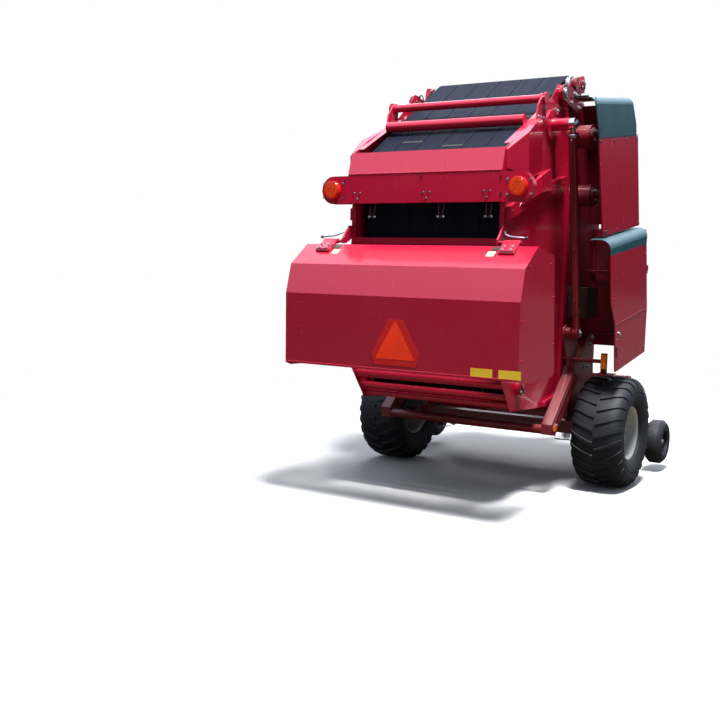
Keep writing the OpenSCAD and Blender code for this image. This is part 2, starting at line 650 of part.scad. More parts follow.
// Pickup: side plates, strippers and a tined reel, raised for the road.
strip_pitch = 2*(pickup_half - 20)/stripper_n;
strip_w = 46;
drum_r = 165;
shaft_d = 50;
reel = [reel_y, reel_z];
module pickup_frame() color(paint) placed() {
  both_sides() difference() {
    union() {
      plate_yz(pickup_half, 6) polygon(concat(arc(reel, 215, -110, 60, 10), [[2510, 700], [guard_y + 35, guard_z + 30],
        [guard_y - 35, guard_z + 30], [2400, 690], [back_y - 6, 640], [back_y - 6, 300]]));
      bar_x(pickup_half - 34, pickup_half, guard_y, guard_z, guard_pin_d);
      plate_yz(lift_x, 14) polygon([[lift_y - 45, lift_z - 40], [lift_y - 45, lift_z + 40], [2380, 700], [2460, 690], [2460, 615],
        [2336, 615], [2320, 600]]);
      bar_x(pickup_half + 6, pickup_half + 40, reel_y, reel_z, 110);
    }
    bar_x(lift_x - 1, lift_x + 20, lift_y, lift_z, lift_pin_d + 2*run_gap);
    bar_x(pickup_half - 1, pickup_half + 50, reel_y, reel_z, shaft_d + 2*run_gap);
  }
  tube_x(pickup_half, 2390, 650, 70);
  translate([-pickup_half, back_y - 6, 320]) cube([2*pickup_half, 6, 310]);
}
// A stripper band: a strip bent round the reel, open at the back.
module strippers() color(paint) placed()
  for (i = [0:stripper_n - 1])
    translate([-pickup_half + 20 + (i + 0.5)*strip_pitch - strip_w/2, 0, 0])
      plate_yz(0, strip_w) polygon(concat([[back_y + clear, reel[1] + 188]], arc(reel, drum_r, 100, -112, 10),
        [[back_y + clear, 330]], [[back_y + clear, 333]], arc(reel, drum_r - 3, -112, 100, 10),
        [[back_y + clear, reel[1] + 185]]));
module pickup_reel() color(steel) placed() {
  bar_x(-pickup_half - 34, pickup_half + 34, reel_y, reel_z, shaft_d);
  for (k = [0:tine_rows - 1]) let (a = 90*k + 20) {
    bar_x(-pickup_half + 12, pickup_half - 12, reel_y + 105*cos(a), reel_z + 105*sin(a), 30);
  }
  for (x = [-pickup_half + 14, 0, pickup_half - 24]) bar_x(x, x + 10, reel_y, reel_z, 250);
  for (k = [0:tine_rows - 1], i = [0:stripper_n - 2]) let (a = 90*k + 20)
    translate([-pickup_half + 20 + (i + 1)*strip_pitch, reel_y, reel_z]) rotate([a, 0, 0])
      translate([0, 105, 0]) rotate([-90, 0, 0]) cylinder(h = tine_tip_r - 105, d = 8);
}
gauge_x = 1075;
gauge_y = 2690;
gauge_z = 249;
gauge_pin_d = 30;
module gauge_wheel(s) color(black) placed() translate([s*gauge_x, gauge_y, gauge_z]) rotate([0, 90*s, 0])
  rotate_extrude($fn = 48) polygon([[gauge_pin_d/2 + run_gap, -50], [60, -50], [60, -20], [96, -20], [96, -gauge_w/2 + 8],
    [124, -gauge_w/2], [gauge_d/2 - 30, -gauge_w/2 + 4], [gauge_d/2, -gauge_w/2 + 34], [gauge_d/2, gauge_w/2 - 34],
    [gauge_d/2 - 30, gauge_w/2 - 4], [124, gauge_w/2], [96, gauge_w/2 - 8], [96, -5], [60, -5], [60, 40],
    [gauge_pin_d/2 + run_gap, 40]]);
module gauge_left() gauge_wheel(-1);
module gauge_right() gauge_wheel(1);
module gauge_arms() color(dark_paint) placed() both_sides() {
  plate_yz(pickup_half + 6, 12) polygon([[2500, 500], [2680, 500], [2700, 560], [2680, 600], [2500, 600]]);
  bar_x(pickup_half + 18, gauge_x - gauge_w/2 - 60, gauge_y - 40, 560, 50);
  plate_yz(gauge_x - gauge_w/2 - 60, 16) polygon([[gauge_y - 70, 590], [gauge_y - 10, 590], [gauge_y + 30, gauge_z - 30],
    [gauge_y - 30, gauge_z - 30]]);
  bar_x(gauge_x - gauge_w/2 - 60, gauge_x + 39, gauge_y, gauge_z, gauge_pin_d);
}
module windguard() color(dark_paint) placed() {
  bar_x(-pickup_half + 10, pickup_half - 10, guard_y + 330, guard_z, 45);
  both_sides() difference() {
    union() {
      plate_yz(pickup_half - 30, 10) polygon([[guard_y - 30, guard_z - 40], [guard_y - 30, guard_z + 35], [guard_y + 330, guard_z + 24],
        [guard_y + 330, guard_z - 24]]);
    }
    bar_x(pickup_half - 31, pickup_half - 1, guard_y, guard_z, guard_pin_d + 2*run_gap);
  }
  for (i = [0:stripper_n - 1]) let (x = -pickup_half + 20 + (i + 0.5)*strip_pitch) if (abs(x) < pickup_half - 50)
    rod_pq([x, guard_y + 330, guard_z], [x, guard_y - 25, guard_z - 70], 9);
}

// Drawbar: a square tube that steps down in front of the pickup.
drawbar_line = [[cross_y + 100, deck_z], [3100, deck_z], [3500, 800], [bar_end, pin_z]];
function band(line, h) = concat([for (p = line) p + [0, h]], [for (i = [len(line) - 1:-1:0]) line[i] - [0, h]]);
bar_t = 14;
module drawbar() color(paint) placed() difference() {
  plate_yz(-drawbar_s/2, drawbar_s) polygon(band(drawbar_line, drawbar_s/2));
  plate_yz(-drawbar_s/2 + bar_t, drawbar_s - 2*bar_t) polygon(band(drawbar_line, drawbar_s/2 - bar_t));
}
module hitch_clevis() color(steel) placed() difference() {
  for (s = [-1, 1]) translate([-drawbar_s/2, bar_end, pin_z + s*40 - 12]) union() {
    cube([drawbar_s, clevis_len, 24]);
    translate([drawbar_s/2, clevis_len, 0]) cylinder(h = 24, r = nose_r);
  }
  translate([0, pin_y, pin_z - 100]) cylinder(h = 200, d = pin_hole_d);
}
jack_x = -(drawbar_s/2 + jack_d/2 + 12);
jack_top_z = 1120;
jack_low_z = 420;
module jack_tube() color(dark_paint) placed() {
  translate([jack_x, jack_y, jack_low_z]) difference() {
    cylinder(h = jack_top_z - jack_low_z, d = jack_d);
    translate([0, 0, -1]) cylinder(h = jack_top_z - jack_low_z - 10, d = jack_d - 10);
  }
  translate([-drawbar_s/2 - 12.5, jack_y - 60, 600]) cube([12.5, 120, 90]);
}
module jack_leg() color(silver) placed() translate([jack_x, jack_y, 0]) {
  cylinder(h = 780, d = jack_d - 11);
  translate([-90, -90, 0]) cube([180, 180, 12]);
}
gear_y = 2880;
gear_z = 1260;
input_d = 45;
stub_d = 34.9;
module gearbox() color(steel) placed() difference() {
  union() {
    translate([-130, gear_y - 190, deck_z + drawbar_s/2]) cube([260, 310, 320]);
    translate([0, gear_y + 120, gear_z]) rotate([-90, 0, 0]) cylinder(h = 40, d = 130);
  }
  translate([0, gear_y - 60, gear_z]) rotate([-90, 0, 0]) cylinder(h = 300, d = input_d + 2*run_gap);
}
module input_shaft() color(silver) placed() translate([0, gear_y - 50, gear_z]) rotate([-90, 0, 0]) {
  cylinder(h = 220, d = input_d);
  cylinder(h = 320, d = stub_d);
}
// Chain case on the left wall, with the cross tube from the gearbox.
case_w = 88;
case_low = [2310, 1190];
module side_drive() color(dark_paint) placed() {
  plate_yz(-wall_out - clear - case_w, case_w) polygon(concat(arc([gear_y, gear_z], 110, -90, 90, 8),
    arc(case_low, 90, 90, 270, 8)));
  bar_x(-wall_out - 20, -130 - clear, gear_y, gear_z, 90);
}
module front_panel() color(paint) placed() {
  plate = [panel_low, panel_low + [panel_t, 0], panel_top + [panel_t, 0], panel_top];
  ears = [lid_eyes[0] - lid_ear, lid_eyes[1] + 1];
  translate([-box_half, 0, 0]) rotate([90, 0, 90]) linear_extrude(2*box_half) polygon(plate);
  both_sides() for (x = ears) {
    bar_x(x, x + lid_ear - 1, lid_axis[0], lid_axis[1], lid_eye_d);
    translate([x, lid_axis[0] - lid_eye_d/2, box_top]) cube([lid_ear - 1, lid_eye_d/2, panel_low[1] - box_top + 20]);
  }
  both_sides() bar_x(lid_eyes[0] - lid_ear, lid_eyes[1] + lid_ear, lid_axis[0], lid_axis[1], lid_pin_d);
}
module net_box() color(paint) placed() difference() {
  translate([-box_half, box_y, box_low]) cube([2*box_half, box_len, box_top - box_low]);
  translate([-box_half + box_t, box_y + box_t, box_low + box_t])
    cube([2*(box_half - box_t), box_len - 2*box_t, box_top - box_low + 1]);
}
module net_lid() color(paint) placed() {
  translate([-box_half, lid_axis[0] + lid_eye_d/2, box_top + clear]) cube([2*box_half, box_len - 8, 5]);
  both_sides() difference() {
    union() {
      bar_x(lid_eyes[0], lid_eyes[1], lid_axis[0], lid_axis[1], lid_eye_d);
      translate([lid_eyes[0], lid_axis[0], box_top + clear]) cube([lid_eyes[1] - lid_eyes[0], 20, 8]);
    }
    bar_x(lid_eyes[0] - 1, lid_eyes[1] + 1, lid_axis[0], lid_axis[1], lid_pin_d + 2*run_gap);
  }
}

main_frame();
axle_spindles();
chamber_walls();
roof_arms();
frame_rollers();
frame_belts();
valve_box();
front_shields();
front_panel();
net_box();
drawbar();
hitch_clevis();
jack_tube();
gearbox();
side_drive();
side_lamps();
cover_arms();
input_shaft();
net_lid();
jack_leg();
upper_panel_left();
upper_panel_right();
upper_shell_right();
lower_panel_left();
lower_band_left();
lower_panel_right();
lower_band_right();
gate_walls();
gate_beam();
gate_tubes();
gate_rollers();
gate_belts();
tail_lamps();
hood_hinges();
hood();
warning_triangle();
barrel_left();
barrel_right();
rod_left();
rod_right();
rim_left();
tyre_left();
rim_right();
tyre_right();
pickup_frame();
strippers();
gauge_arms();
pickup_reel();
gauge_left();
gauge_right();
windguard();
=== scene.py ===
"""Round baler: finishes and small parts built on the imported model."""

import json
import math

import bmesh
import bpy
from mathutils import Matrix, Vector

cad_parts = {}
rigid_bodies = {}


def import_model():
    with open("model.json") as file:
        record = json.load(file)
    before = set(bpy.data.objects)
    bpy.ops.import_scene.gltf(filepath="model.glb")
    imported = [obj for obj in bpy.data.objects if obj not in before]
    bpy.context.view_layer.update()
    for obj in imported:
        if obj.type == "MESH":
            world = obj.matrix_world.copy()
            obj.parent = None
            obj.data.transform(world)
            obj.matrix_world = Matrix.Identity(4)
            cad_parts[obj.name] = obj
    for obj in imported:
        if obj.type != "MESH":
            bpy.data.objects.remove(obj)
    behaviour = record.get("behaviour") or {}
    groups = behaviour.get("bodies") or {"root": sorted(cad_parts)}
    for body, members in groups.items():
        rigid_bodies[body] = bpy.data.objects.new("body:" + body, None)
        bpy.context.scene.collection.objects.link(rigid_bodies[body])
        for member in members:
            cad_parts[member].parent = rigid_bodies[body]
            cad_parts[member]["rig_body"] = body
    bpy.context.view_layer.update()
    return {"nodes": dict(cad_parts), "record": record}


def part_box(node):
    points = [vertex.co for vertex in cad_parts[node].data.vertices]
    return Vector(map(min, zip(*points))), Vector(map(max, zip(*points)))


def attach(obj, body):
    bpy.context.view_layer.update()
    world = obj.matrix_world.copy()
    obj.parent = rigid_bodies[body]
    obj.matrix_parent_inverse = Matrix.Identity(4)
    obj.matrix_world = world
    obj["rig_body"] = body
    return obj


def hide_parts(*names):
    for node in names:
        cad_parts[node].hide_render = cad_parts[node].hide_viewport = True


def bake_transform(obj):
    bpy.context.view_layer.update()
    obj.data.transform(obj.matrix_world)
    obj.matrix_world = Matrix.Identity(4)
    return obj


bl_info = {
    "name": "Round Baler Finish",
    "version": (1, 0, 0),
    "blender": (4, 5, 0),
    "location": "3D View > Sidebar > Baler",
    "description": "Paints a round baler and adds its belts, tyres, lamps, bolts and plates",
    "category": "Object",
}

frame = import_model()

# Places are in millimetres: x across, y forward of the hood's lower rear edge, z up.
# The hood's rear face leans out behind that edge, by this much at its bend.
HOOD_BACK = 11
MIDDLE = -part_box("hood")[0].y * 1000 - HOOD_BACK
ACROSS, AHEAD, BACK, UP = (1, 0, 0), (0, 1, 0), (0, -1, 0), (0, 0, 1)


def at(x, y, z):
    """A place in millimetres as a point of the scene."""
    return Vector((x / 1000, (y - MIDDLE) / 1000, z / 1000))


# ---------------------------------------------------------------- settings


def colour_prop(name, description, value):
    return bpy.props.FloatVectorProperty(
        name=name, description=description, default=value, subtype="COLOR", size=3, min=0, max=1
    )


def length_prop(name, description, value):
    return bpy.props.FloatProperty(
        name=name, description=description, default=value, unit="LENGTH", min=0
    )


class BalerColours(bpy.types.PropertyGroup):
    red: colour_prop("Red Paint", "Gloss paint of the sheet metal", (0.36, 0.0022, 0.026))
    dark_red: colour_prop("Frame Paint", "Paint of the frame, tubes and arms", (0.13, 0.002, 0.010))
    teal: colour_prop("Teal Plastic", "Moulded shells of the side covers", (0.013, 0.062, 0.085))
    # The belts are near-black rubber; the blue tint in this colour is a painted reflection of the sky.
    belt: colour_prop("Belt Rubber", "Rubber of the chamber belts", (0.0035, 0.005, 0.012))
    tyre: colour_prop("Tyre Rubber", "Rubber of the tyres", (0.005, 0.006, 0.010))
    # The rims' silver is partly painted shade: it is darkened and cooled to stand for the shade the fender casts on
    # the rims.
    silver: colour_prop("Rim Paint", "Silver paint of the rims", (0.33, 0.36, 0.38))
    steel: colour_prop("Steel", "Bare and plated steel", (0.45, 0.45, 0.47))
    orange: colour_prop("Lens Orange", "Lenses of the lamps", (0.62, 0.045, 0.006))
    sign: colour_prop("Sign Orange", "Face of the slow vehicle triangle", (0.85, 0.035, 0.004))
    dust: colour_prop("Dust", "Settled dust and chaff", (0.36, 0.29, 0.19))


class BalerSizes(bpy.types.PropertyGroup):
    belt_thickness: length_prop("Belt Thickness", "Thickness of a chamber belt", 0.006)
    pipe_diameter: length_prop("Pipe Diameter", "Diameter of the rams' oil pipes", 0.014)
    bolt_scale: bpy.props.FloatProperty(
        name="Bolt Scale", description="Size of the bolt heads against their own", default=1.0, min=0.1
    )


# ---------------------------------------------------------------- nodes

GROUPS = {}
MATERIALS = {}
TREES = {}


class Wires:
    """Short calls for adding and linking nodes in one tree."""

    def __init__(self, tree):
        self.nodes = tree.nodes
        self.links = tree.links

    def put(self, socket, value):
        if isinstance(value, bpy.types.NodeSocket):
            self.links.new(value, socket)
        else:
            socket.default_value = value

    def fill(self, node, **inputs):
        """Sets or links a node's inputs by name, with _ for a space."""
        for label, value in inputs.items():
            self.put(node.inputs[label.replace("_", " ")], value)
        return node

    def node(self, kind, settings=None, **inputs):
        node = self.nodes.new(kind)
        for key, value in (settings or {}).items():
            setattr(node, key, value)
        return self.fill(node, **inputs)

    def group(self, name, **inputs):
        return self.node("ShaderNodeGroup", {"node_tree": GROUPS[name]}, **inputs).outputs

    def math(self, operation, a, b=0.0, clamp=False):
        node = self.node("ShaderNodeMath", {"operation": operation, "use_clamp": clamp})
        self.put(node.inputs[0], a)
        self.put(node.inputs[1], b)
        return node.outputs[0]

    def add(self, a, b):
        return self.math("ADD", a, b)

    def sub(self, a, b, clamp=False):
        return self.math("SUBTRACT", a, b, clamp)

    def mul(self, a, b, clamp=False):
        return self.math("MULTIPLY", a, b, clamp)

    def mix(self, factor, a, b):
        node = self.node("ShaderNodeMix", {"data_type": "RGBA"})
        for index, value in ((0, factor), (6, a), (7, b)):
            self.put(node.inputs[index], value)
        return node.outputs[2]

    def mix_shaders(self, factor, a, b):
        node = self.node("ShaderNodeMixShader")
        for socket, value in zip(node.inputs, (factor, a.outputs[0], b.outputs[0])):
            self.put(socket, value)
        return node.outputs[0]

    def noise(self, where, scale, detail=4.0, roughness=0.55, stretch=None):
        if stretch:
            where = self.node("ShaderNodeMapping", Vector=where, Scale=stretch).outputs[0]
        node = self.node("ShaderNodeTexNoise", Vector=where, Scale=scale, Detail=detail, Roughness=roughness)
        return node.outputs["Fac"]

    def band(self, value, low, high):
        """0 below low, 1 above high, a ramp between."""
        return self.node("ShaderNodeMapRange", Value=value, From_Min=low, From_Max=high).outputs[0]

    def xyz(self, vector):
        return self.node("ShaderNodeSeparateXYZ", Vector=vector).outputs

    def places(self):
        return self.node("ShaderNodeTexCoord").outputs

    def bump(self, shader, height, strength, distance=0.0008):
        node = self.node("ShaderNodeBump", Strength=strength, Distance=distance, Height=height)
        self.fill(shader, Normal=node.outputs[0])


def new_tree(kind, name, inputs, outputs):
    """A node group with named sockets, its wires and the values it is given."""
    tree = bpy.data.node_groups.new(name, kind)
    for label, value_type, value in inputs:
        socket = tree.interface.new_socket(name=label, in_out="INPUT", socket_type="NodeSocket" + value_type)
        if value is not None:
            socket.default_value = value
    for label, value_type in outputs:
        tree.interface.new_socket(name=label, in_out="OUTPUT", socket_type="NodeSocket" + value_type)
    w = Wires(tree)
    return tree, w, w.node("NodeGroupInput").outputs


def dust_group():
    """Settled dust: more on faces that look up and near the ground, broken up by noise."""
    inputs = [
        ("Color", "Color", (0.5, 0.5, 0.5, 1)), ("Dust", "Color", (0.36, 0.29, 0.19, 1)),
        ("Amount", "Float", 0.5), ("Low Dirt", "Float", 0.5), ("Scale", "Float", 3.0),
    ]
    outputs = [("Color", "Color"), ("Mask", "Float")]
    group, w, given = new_tree("ShaderNodeTree", "Settled Dust", inputs, outputs)
    where = w.places()
    up = w.band(w.xyz(where["Normal"])[2], 0.2, 1.0)
    patches = w.band(w.noise(where["Object"], given["Scale"], 8, 0.62), 0.42, 0.72)
    fine = w.band(w.noise(where["Object"], 60.0, 4, 0.7), 0.35, 0.75)
    low = w.band(w.xyz(where["Object"])[2], 1.1, 0.15)
    level = w.add(w.mul(up, 0.45), w.mul(low, given["Low Dirt"]))
    level = w.add(level, w.mul(patches, 0.35))
    mask = w.mul(level, w.add(w.mul(fine, 0.7), 0.3))
    mask = w.mul(mask, given["Amount"], True)
    w.node("NodeGroupOutput", Color=w.mix(mask, given["Color"], given["Dust"]), Mask=mask)
    return group


def wear_group():
    """Paint wear: faded patches, fine scratches and small chips down to the primer."""
    inputs = [
        ("Paint", "Color", (0.5, 0.5, 0.5, 1)), ("Faded", "Color", (0.6, 0.5, 0.5, 1)),
        ("Chip", "Color", (0.3, 0.28, 0.27, 1)), ("Fade", "Float", 0.3),
        ("Chips", "Float", 0.5), ("Scratches", "Float", 0.5),
    ]
    outputs = [("Color", "Color"), ("Height", "Float"), ("Mask", "Float")]
    group, w, given = new_tree("ShaderNodeTree", "Paint Wear", inputs, outputs)
    where = w.places()["Object"]
    fade = w.mul(w.band(w.noise(where, 1.7, 5), 0.4, 0.75), given["Fade"])
    speck = w.band(w.noise(where, 38.0, 6, 0.75), 0.66, 0.69)
    region = w.band(w.noise(where, 4.5, 3), 0.55, 0.68)
    chip = w.mul(w.mul(speck, region), given["Chips"], True)
    lines = w.band(w.noise(where, 9.0, 3, 0.5, (0.5, 1.0, 14.0)), 0.715, 0.735)
    cross = w.band(w.noise(where, 8.0, 3, 0.5, (12.0, 1.0, 0.7)), 0.715, 0.735)
    marks = w.mul(w.math("MAXIMUM", lines, cross), given["Scratches"], True)
    colour = w.mix(fade, given["Paint"], given["Faded"])
    colour = w.mix(w.mul(marks, 0.6), colour, given["Faded"])
    colour = w.mix(chip, colour, given["Chip"])
    worn = w.math("MAXIMUM", chip, marks)
    w.node("NodeGroupOutput", Color=colour, Height=w.sub(1.0, worn), Mask=worn)
    return group


def grain_group():
    """A fine moulded or cast grain for a bump, with a slow waviness under it."""
    inputs = [("Scale", "Float", 200.0), ("Wave", "Float", 0.3)]
    group, w, given = new_tree("ShaderNodeTree", "Surface Grain", inputs, [("Height", "Float")])
    where = w.places()["Object"]
    fine = w.noise(where, given["Scale"], 3, 0.6)
    slow = w.mul(w.noise(where, 5.0, 2), given["Wave"])
    w.node("NodeGroupOutput", Height=w.add(w.mul(fine, 0.3), slow))
    return group


# ---------------------------------------------------------------- finishes


def shade(colour, strength=1.0):
    return (*(c * strength for c in colour), 1.0)


def start_material(name):
    material = MATERIALS[name] = bpy.data.materials.new(name)
    material.use_nodes = True
    w = Wires(material.node_tree)
    return w, w.nodes["Principled BSDF"]


def dusted(w, colour, amount, low, scale=3.0):
    """The colour under settled dust, and the dust's mask."""
    dust = shade(bpy.context.scene.baler_colours.dust)
    return w.group("Settled Dust", Color=colour, Dust=dust, Amount=amount, Low_Dirt=low, Scale=scale)


def paint_material(name, colour, faded, fade, chips, scratches, dust, low, rough, coat):
    """Sprayed paint, worn and scratched under the dust."""
    w, shader = start_material(name)
    wear = w.group(
        "Paint Wear", Paint=shade(colour), Faded=shade(faded), Fade=fade, Chips=chips, Scratches=scratches
    )
    top = dusted(w, wear["Color"], dust, low)
    w.fill(
        shader,
        Base_Color=top["Color"],
        Roughness=w.add(w.add(w.mul(top["Mask"], 0.55), rough), w.mul(wear["Mask"], 0.3)),
        Coat_Weight=w.mul(w.sub(1.0, top["Mask"]), coat, True),
        Coat_Roughness=0.08,
        Specular_IOR_Level=0.3,
    )
    grain = w.group("Surface Grain", Scale=260.0, Wave=0.6)[0]
    w.bump(shader, w.add(w.mul(grain, 0.5), wear["Height"]), 0.22)


def metal_material(name, colour, rough, dust, low, brushed=0.0):
    """Bare or plated metal, uneven in tone, with fine marks that can run one way."""
    w, shader = start_material(name)
    where = w.places()["Object"]
    tone = w.band(w.noise(where, 14.0, 6, 0.6), 0.3, 0.8)
    top = dusted(w, w.mix(tone, shade(colour), shade(colour, 0.55)), dust, low)
    w.fill(
        shader,
        Base_Color=top["Color"],
        Metallic=w.sub(1.0, top["Mask"], True),
        Roughness=w.add(w.mul(tone, 0.15), rough),
    )
    w.bump(shader, w.noise(where, 120.0, 3, 0.6, (1.0, 1.0, 1.0 + brushed)), 0.15, 0.0006)


def plain_material(name, colour, rough, grain, strength, dust, low):
    """Plastic, rubber or plate of one colour with a grain."""
    w, shader = start_material(name)
    tone = w.band(w.noise(w.places()["Object"], 6.0, 5, 0.6), 0.35, 0.75)
    top = dusted(w, w.mix(w.mul(tone, 0.5), shade(colour), shade(colour, 1.5)), dust, low)
    w.fill(
        shader,
        Base_Color=top["Color"],
        Roughness=w.math("ADD", w.mul(top["Mask"], 0.4), rough, True),
        Specular_IOR_Level=0.35,
    )
    w.bump(shader, w.group("Surface Grain", Scale=grain, Wave=0.5)[0], strength)


def belt_material(name, colour):
    """Rubber belting with a fine diamond top, scuffs and dust, laid along the belt's own UV map."""
    w, shader = start_material(name)
    where = w.places()["UV"]
    along = w.xyz(where)
    slants = w.add(along[0], along[1]), w.sub(along[0], along[1])
    diamonds = w.mul(*(w.math("SINE", w.mul(slant, 620.0)) for slant in slants))
    scuff = w.noise(where, 7.0, 6, 0.65, (0.35, 9.0, 1.0))
    tone = w.band(scuff, 0.45, 0.75)
    w.fill(
        shader,
        Base_Color=dusted(w, w.mix(tone, shade(colour), shade(colour, 1.6)), 0.012, 0.1, 2.0)["Color"],
        Roughness=w.add(w.mul(tone, -0.12), 0.62),
        Specular_IOR_Level=0.06,
    )
    w.bump(shader, w.add(diamonds, w.mul(scuff, 1.5)), 0.35)


def lens_material(name, colour, painted_glow):
    """Moulded lens: a fine prism pattern, with a faint painted glow in the lens colour, though no lamp is lit."""
    w, shader = start_material(name)
    cells = w.node("ShaderNodeTexVoronoi", Vector=w.places()["Object"], Scale=95.0).outputs["Distance"]
    base = w.mix(w.band(cells, 0.1, 0.7), shade(colour, 1.25), shade(colour, 0.7))
    w.fill(
        shader, Base_Color=base, Emission_Color=base, Emission_Strength=painted_glow,
        Roughness=0.2, Specular_IOR_Level=0.2, Coat_Weight=0.25,
    )
    w.bump(shader, cells, 0.5, 0.001)


def build_materials():
    palette = bpy.context.scene.baler_colours
    GROUPS.update({"Settled Dust": dust_group(), "Paint Wear": wear_group(), "Surface Grain": grain_group()})
    # colour, faded colour, fade, chips, scratches, dust, dust near the ground, roughness, coat
    for name, *values in (
        ("red_paint", palette.red, (0.50, 0.045, 0.085), 0.06, 0.8, 0.5, 0.07, 0.3, 0.26, 0.5),
        ("dark_red_paint", palette.dark_red, (0.30, 0.03, 0.045), 0.12, 1.0, 0.6, 0.14, 0.4, 0.36, 0.25),
        # The rim silver carries painted shade from the fender as well as its paint colour.
        ("rim_silver", palette.silver, (0.5, 0.5, 0.5), 0.3, 0.8, 0.5, 0.3, 0.3, 0.33, 0.3),
        ("gear_iron", (0.10, 0.10, 0.11), (0.2, 0.2, 0.2), 0.3, 0.6, 0.3, 0.6, 0.5, 0.5, 0.1),
        ("black_paint", (0.016, 0.016, 0.018), (0.05, 0.05, 0.05), 0.3, 0.5, 0.3, 0.35, 0.3, 0.4, 0.2),
    ):
        paint_material(name, *values)
    metal_material("bare_steel", palette.steel, rough=0.32, dust=0.35, low=0.5, brushed=2.0)
    metal_material("chrome_rod", (0.72, 0.73, 0.75), rough=0.10, dust=0.12, low=0.1)
    # colour, roughness, scale and depth of the grain, dust, dust near the ground
    for name, *values in (
        ("teal_plastic", palette.teal, 0.30, 160.0, 0.25, 0.22, 0.1),
        ("dark_teal", (0.012, 0.030, 0.040), 0.35, 160.0, 0.25, 0.2, 0.1),
        ("tyre_rubber", palette.tyre, 0.6, 90.0, 0.5, 0.07, 0.12),
        ("black_rubber", (0.014, 0.014, 0.016), 0.5, 140.0, 0.4, 0.3, 0.3),
        ("black_plastic", (0.02, 0.02, 0.022), 0.35, 180.0, 0.3, 0.25, 0.2),
        ("yellow_plate", (0.72, 0.50, 0.03), 0.35, 120.0, 0.1, 0.2, 0.2),
        ("pale_plate", (0.55, 0.48, 0.30), 0.35, 120.0, 0.1, 0.25, 0.2),
        ("sign_orange", palette.sign, 0.45, 300.0, 0.2, 0.12, 0.1),
        ("sign_border", (0.50, 0.01, 0.012), 0.28, 300.0, 0.2, 0.12, 0.1),
    ):
        plain_material(name, *values)
    # The belt colour's blue tint is a painted sky reflection, in place of a computed one.
    belt_material("belt_rubber", palette.belt)
    lens_material("orange_lens", palette.orange, painted_glow=0.08)
    lens_material("amber_lens", (0.80, 0.20, 0.01), painted_glow=0.08)
    lens_material("red_lens", (0.55, 0.01, 0.01), painted_glow=0.1)


# Which finish of the record each further finish counts as.
SLOTS = {
    "chrome_rod": "bare_steel", "black_rubber": "belt_rubber", "black_plastic": "black_paint",
    "yellow_plate": "sign_orange", "pale_plate": "rim_silver", "sign_border": "sign_orange",
    "orange_lens": "orange_lamp", "amber_lens": "orange_lamp", "red_lens": "orange_lamp",
    "dark_teal": "teal_plastic",
}


def keep(obj, body, material, replaces=(), slot=None):
    """Shades a finished piece and fixes it to its body."""
    obj.data.materials.clear()
    obj.data.materials.append(MATERIALS[material])
    if replaces:
        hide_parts(*replaces)
    slot or SLOTS.get(material, material)
    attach(obj, body)


# ---------------------------------------------------------------- meshes


def linked(name, data):
    obj = bpy.data.objects.new(name, data)
    bpy.context.scene.collection.objects.link(obj)
    return obj


def mesh_object(name, verts, faces):
    mesh = bpy.data.meshes.new(name)
    mesh.from_pydata([tuple(v) for v in verts], [], faces)
    mesh.update()
    return linked(name, mesh)


def smooth(mesh, angle=35):
    mesh.shade_smooth()
    mesh.set_sharp_from_angle(angle=math.radians(angle))


def outward(obj):
    """Joins doubled points and turns every face outward."""
    bm = bmesh.new()
    bm.from_mesh(obj.data)
    bmesh.ops.remove_doubles(bm, verts=bm.verts, dist=1e-6)
    bmesh.ops.recalc_face_normals(bm, faces=bm.faces)
    bm.to_mesh(obj.data)
    bm.free()


def applied(obj):
    """Works the modifiers into the object's mesh and removes them."""
    depsgraph = bpy.context.evaluated_depsgraph_get()
    mesh = bpy.data.meshes.new_from_object(obj.evaluated_get(depsgraph))
    old = obj.data
    obj.modifiers.clear()
    obj.data = mesh
    bpy.data.meshes.remove(old)
    mesh.name = obj.name


def rounded(obj, width, segments=2, angle=30):
    smooth(obj.data, angle)
    modifier = obj.modifiers.new("edges", "BEVEL")
    modifier.harden_normals = True
    modifier.width = width
    modifier.segments = segments
    modifier.limit_method = "ANGLE"
    modifier.angle_limit = math.radians(angle)
    applied(obj)


def dressed(node, material, slot, width, angle=30):
    """A copy of a CAD node with merged faces and rounded edges, which stands for the node."""
    source = frame["nodes"][node]
    obj = linked(node + "_finish", source.data.copy())
    bm = bmesh.new()
    bm.from_mesh(obj.data)
    bmesh.ops.remove_doubles(bm, verts=bm.verts, dist=2e-5)
    bmesh.ops.dissolve_limit(bm, angle_limit=math.radians(0.5), verts=bm.verts, edges=bm.edges)
    bm.to_mesh(obj.data)
    bm.free()
    if width:
        rounded(obj, width, 2, angle)
    else:
        smooth(obj.data)
    keep(obj, source["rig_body"], material, (node,), slot)


def lathe(profile, steps):
    """Verts and faces of a closed section (along, radius) turned round the X axis."""
    verts, faces = [], []
    count = len(profile)
    for s in range(steps):
        angle = 2 * math.pi * s / steps
        for a, r in profile:
            verts.append(Vector((a / 1000, r / 1000 * math.cos(angle), r / 1000 * math.sin(angle))))
        t = (s + 1) % steps
        for i in range(count):
            j = (i + 1) % count
            faces.append((s * count + i, s * count + j, t * count + j, t * count + i))
    return verts, faces


def brick(low, high, cut):
    """Verts and faces of a small block with its upper edges cut back."""
    (x0, y0, z0), (x1, y1, z1) = low, high
    verts = []
    for z, d in ((z0, 0), (z1 - cut, 0), (z1, cut)):
        corners = ((x0 + d, y0 + d), (x1 - d, y0 + d), (x1 - d, y1 - d), (x0 + d, y1 - d))
        verts += [Vector((x / 1000, y / 1000, z / 1000)) for x, y in corners]
    faces = [(3, 2, 1, 0), (8, 9, 10, 11)]
    faces += [(k + i, k + (i + 1) % 4, k + 4 + (i + 1) % 4, k + 4 + i) for k in (0, 4) for i in range(4)]
    return verts, faces


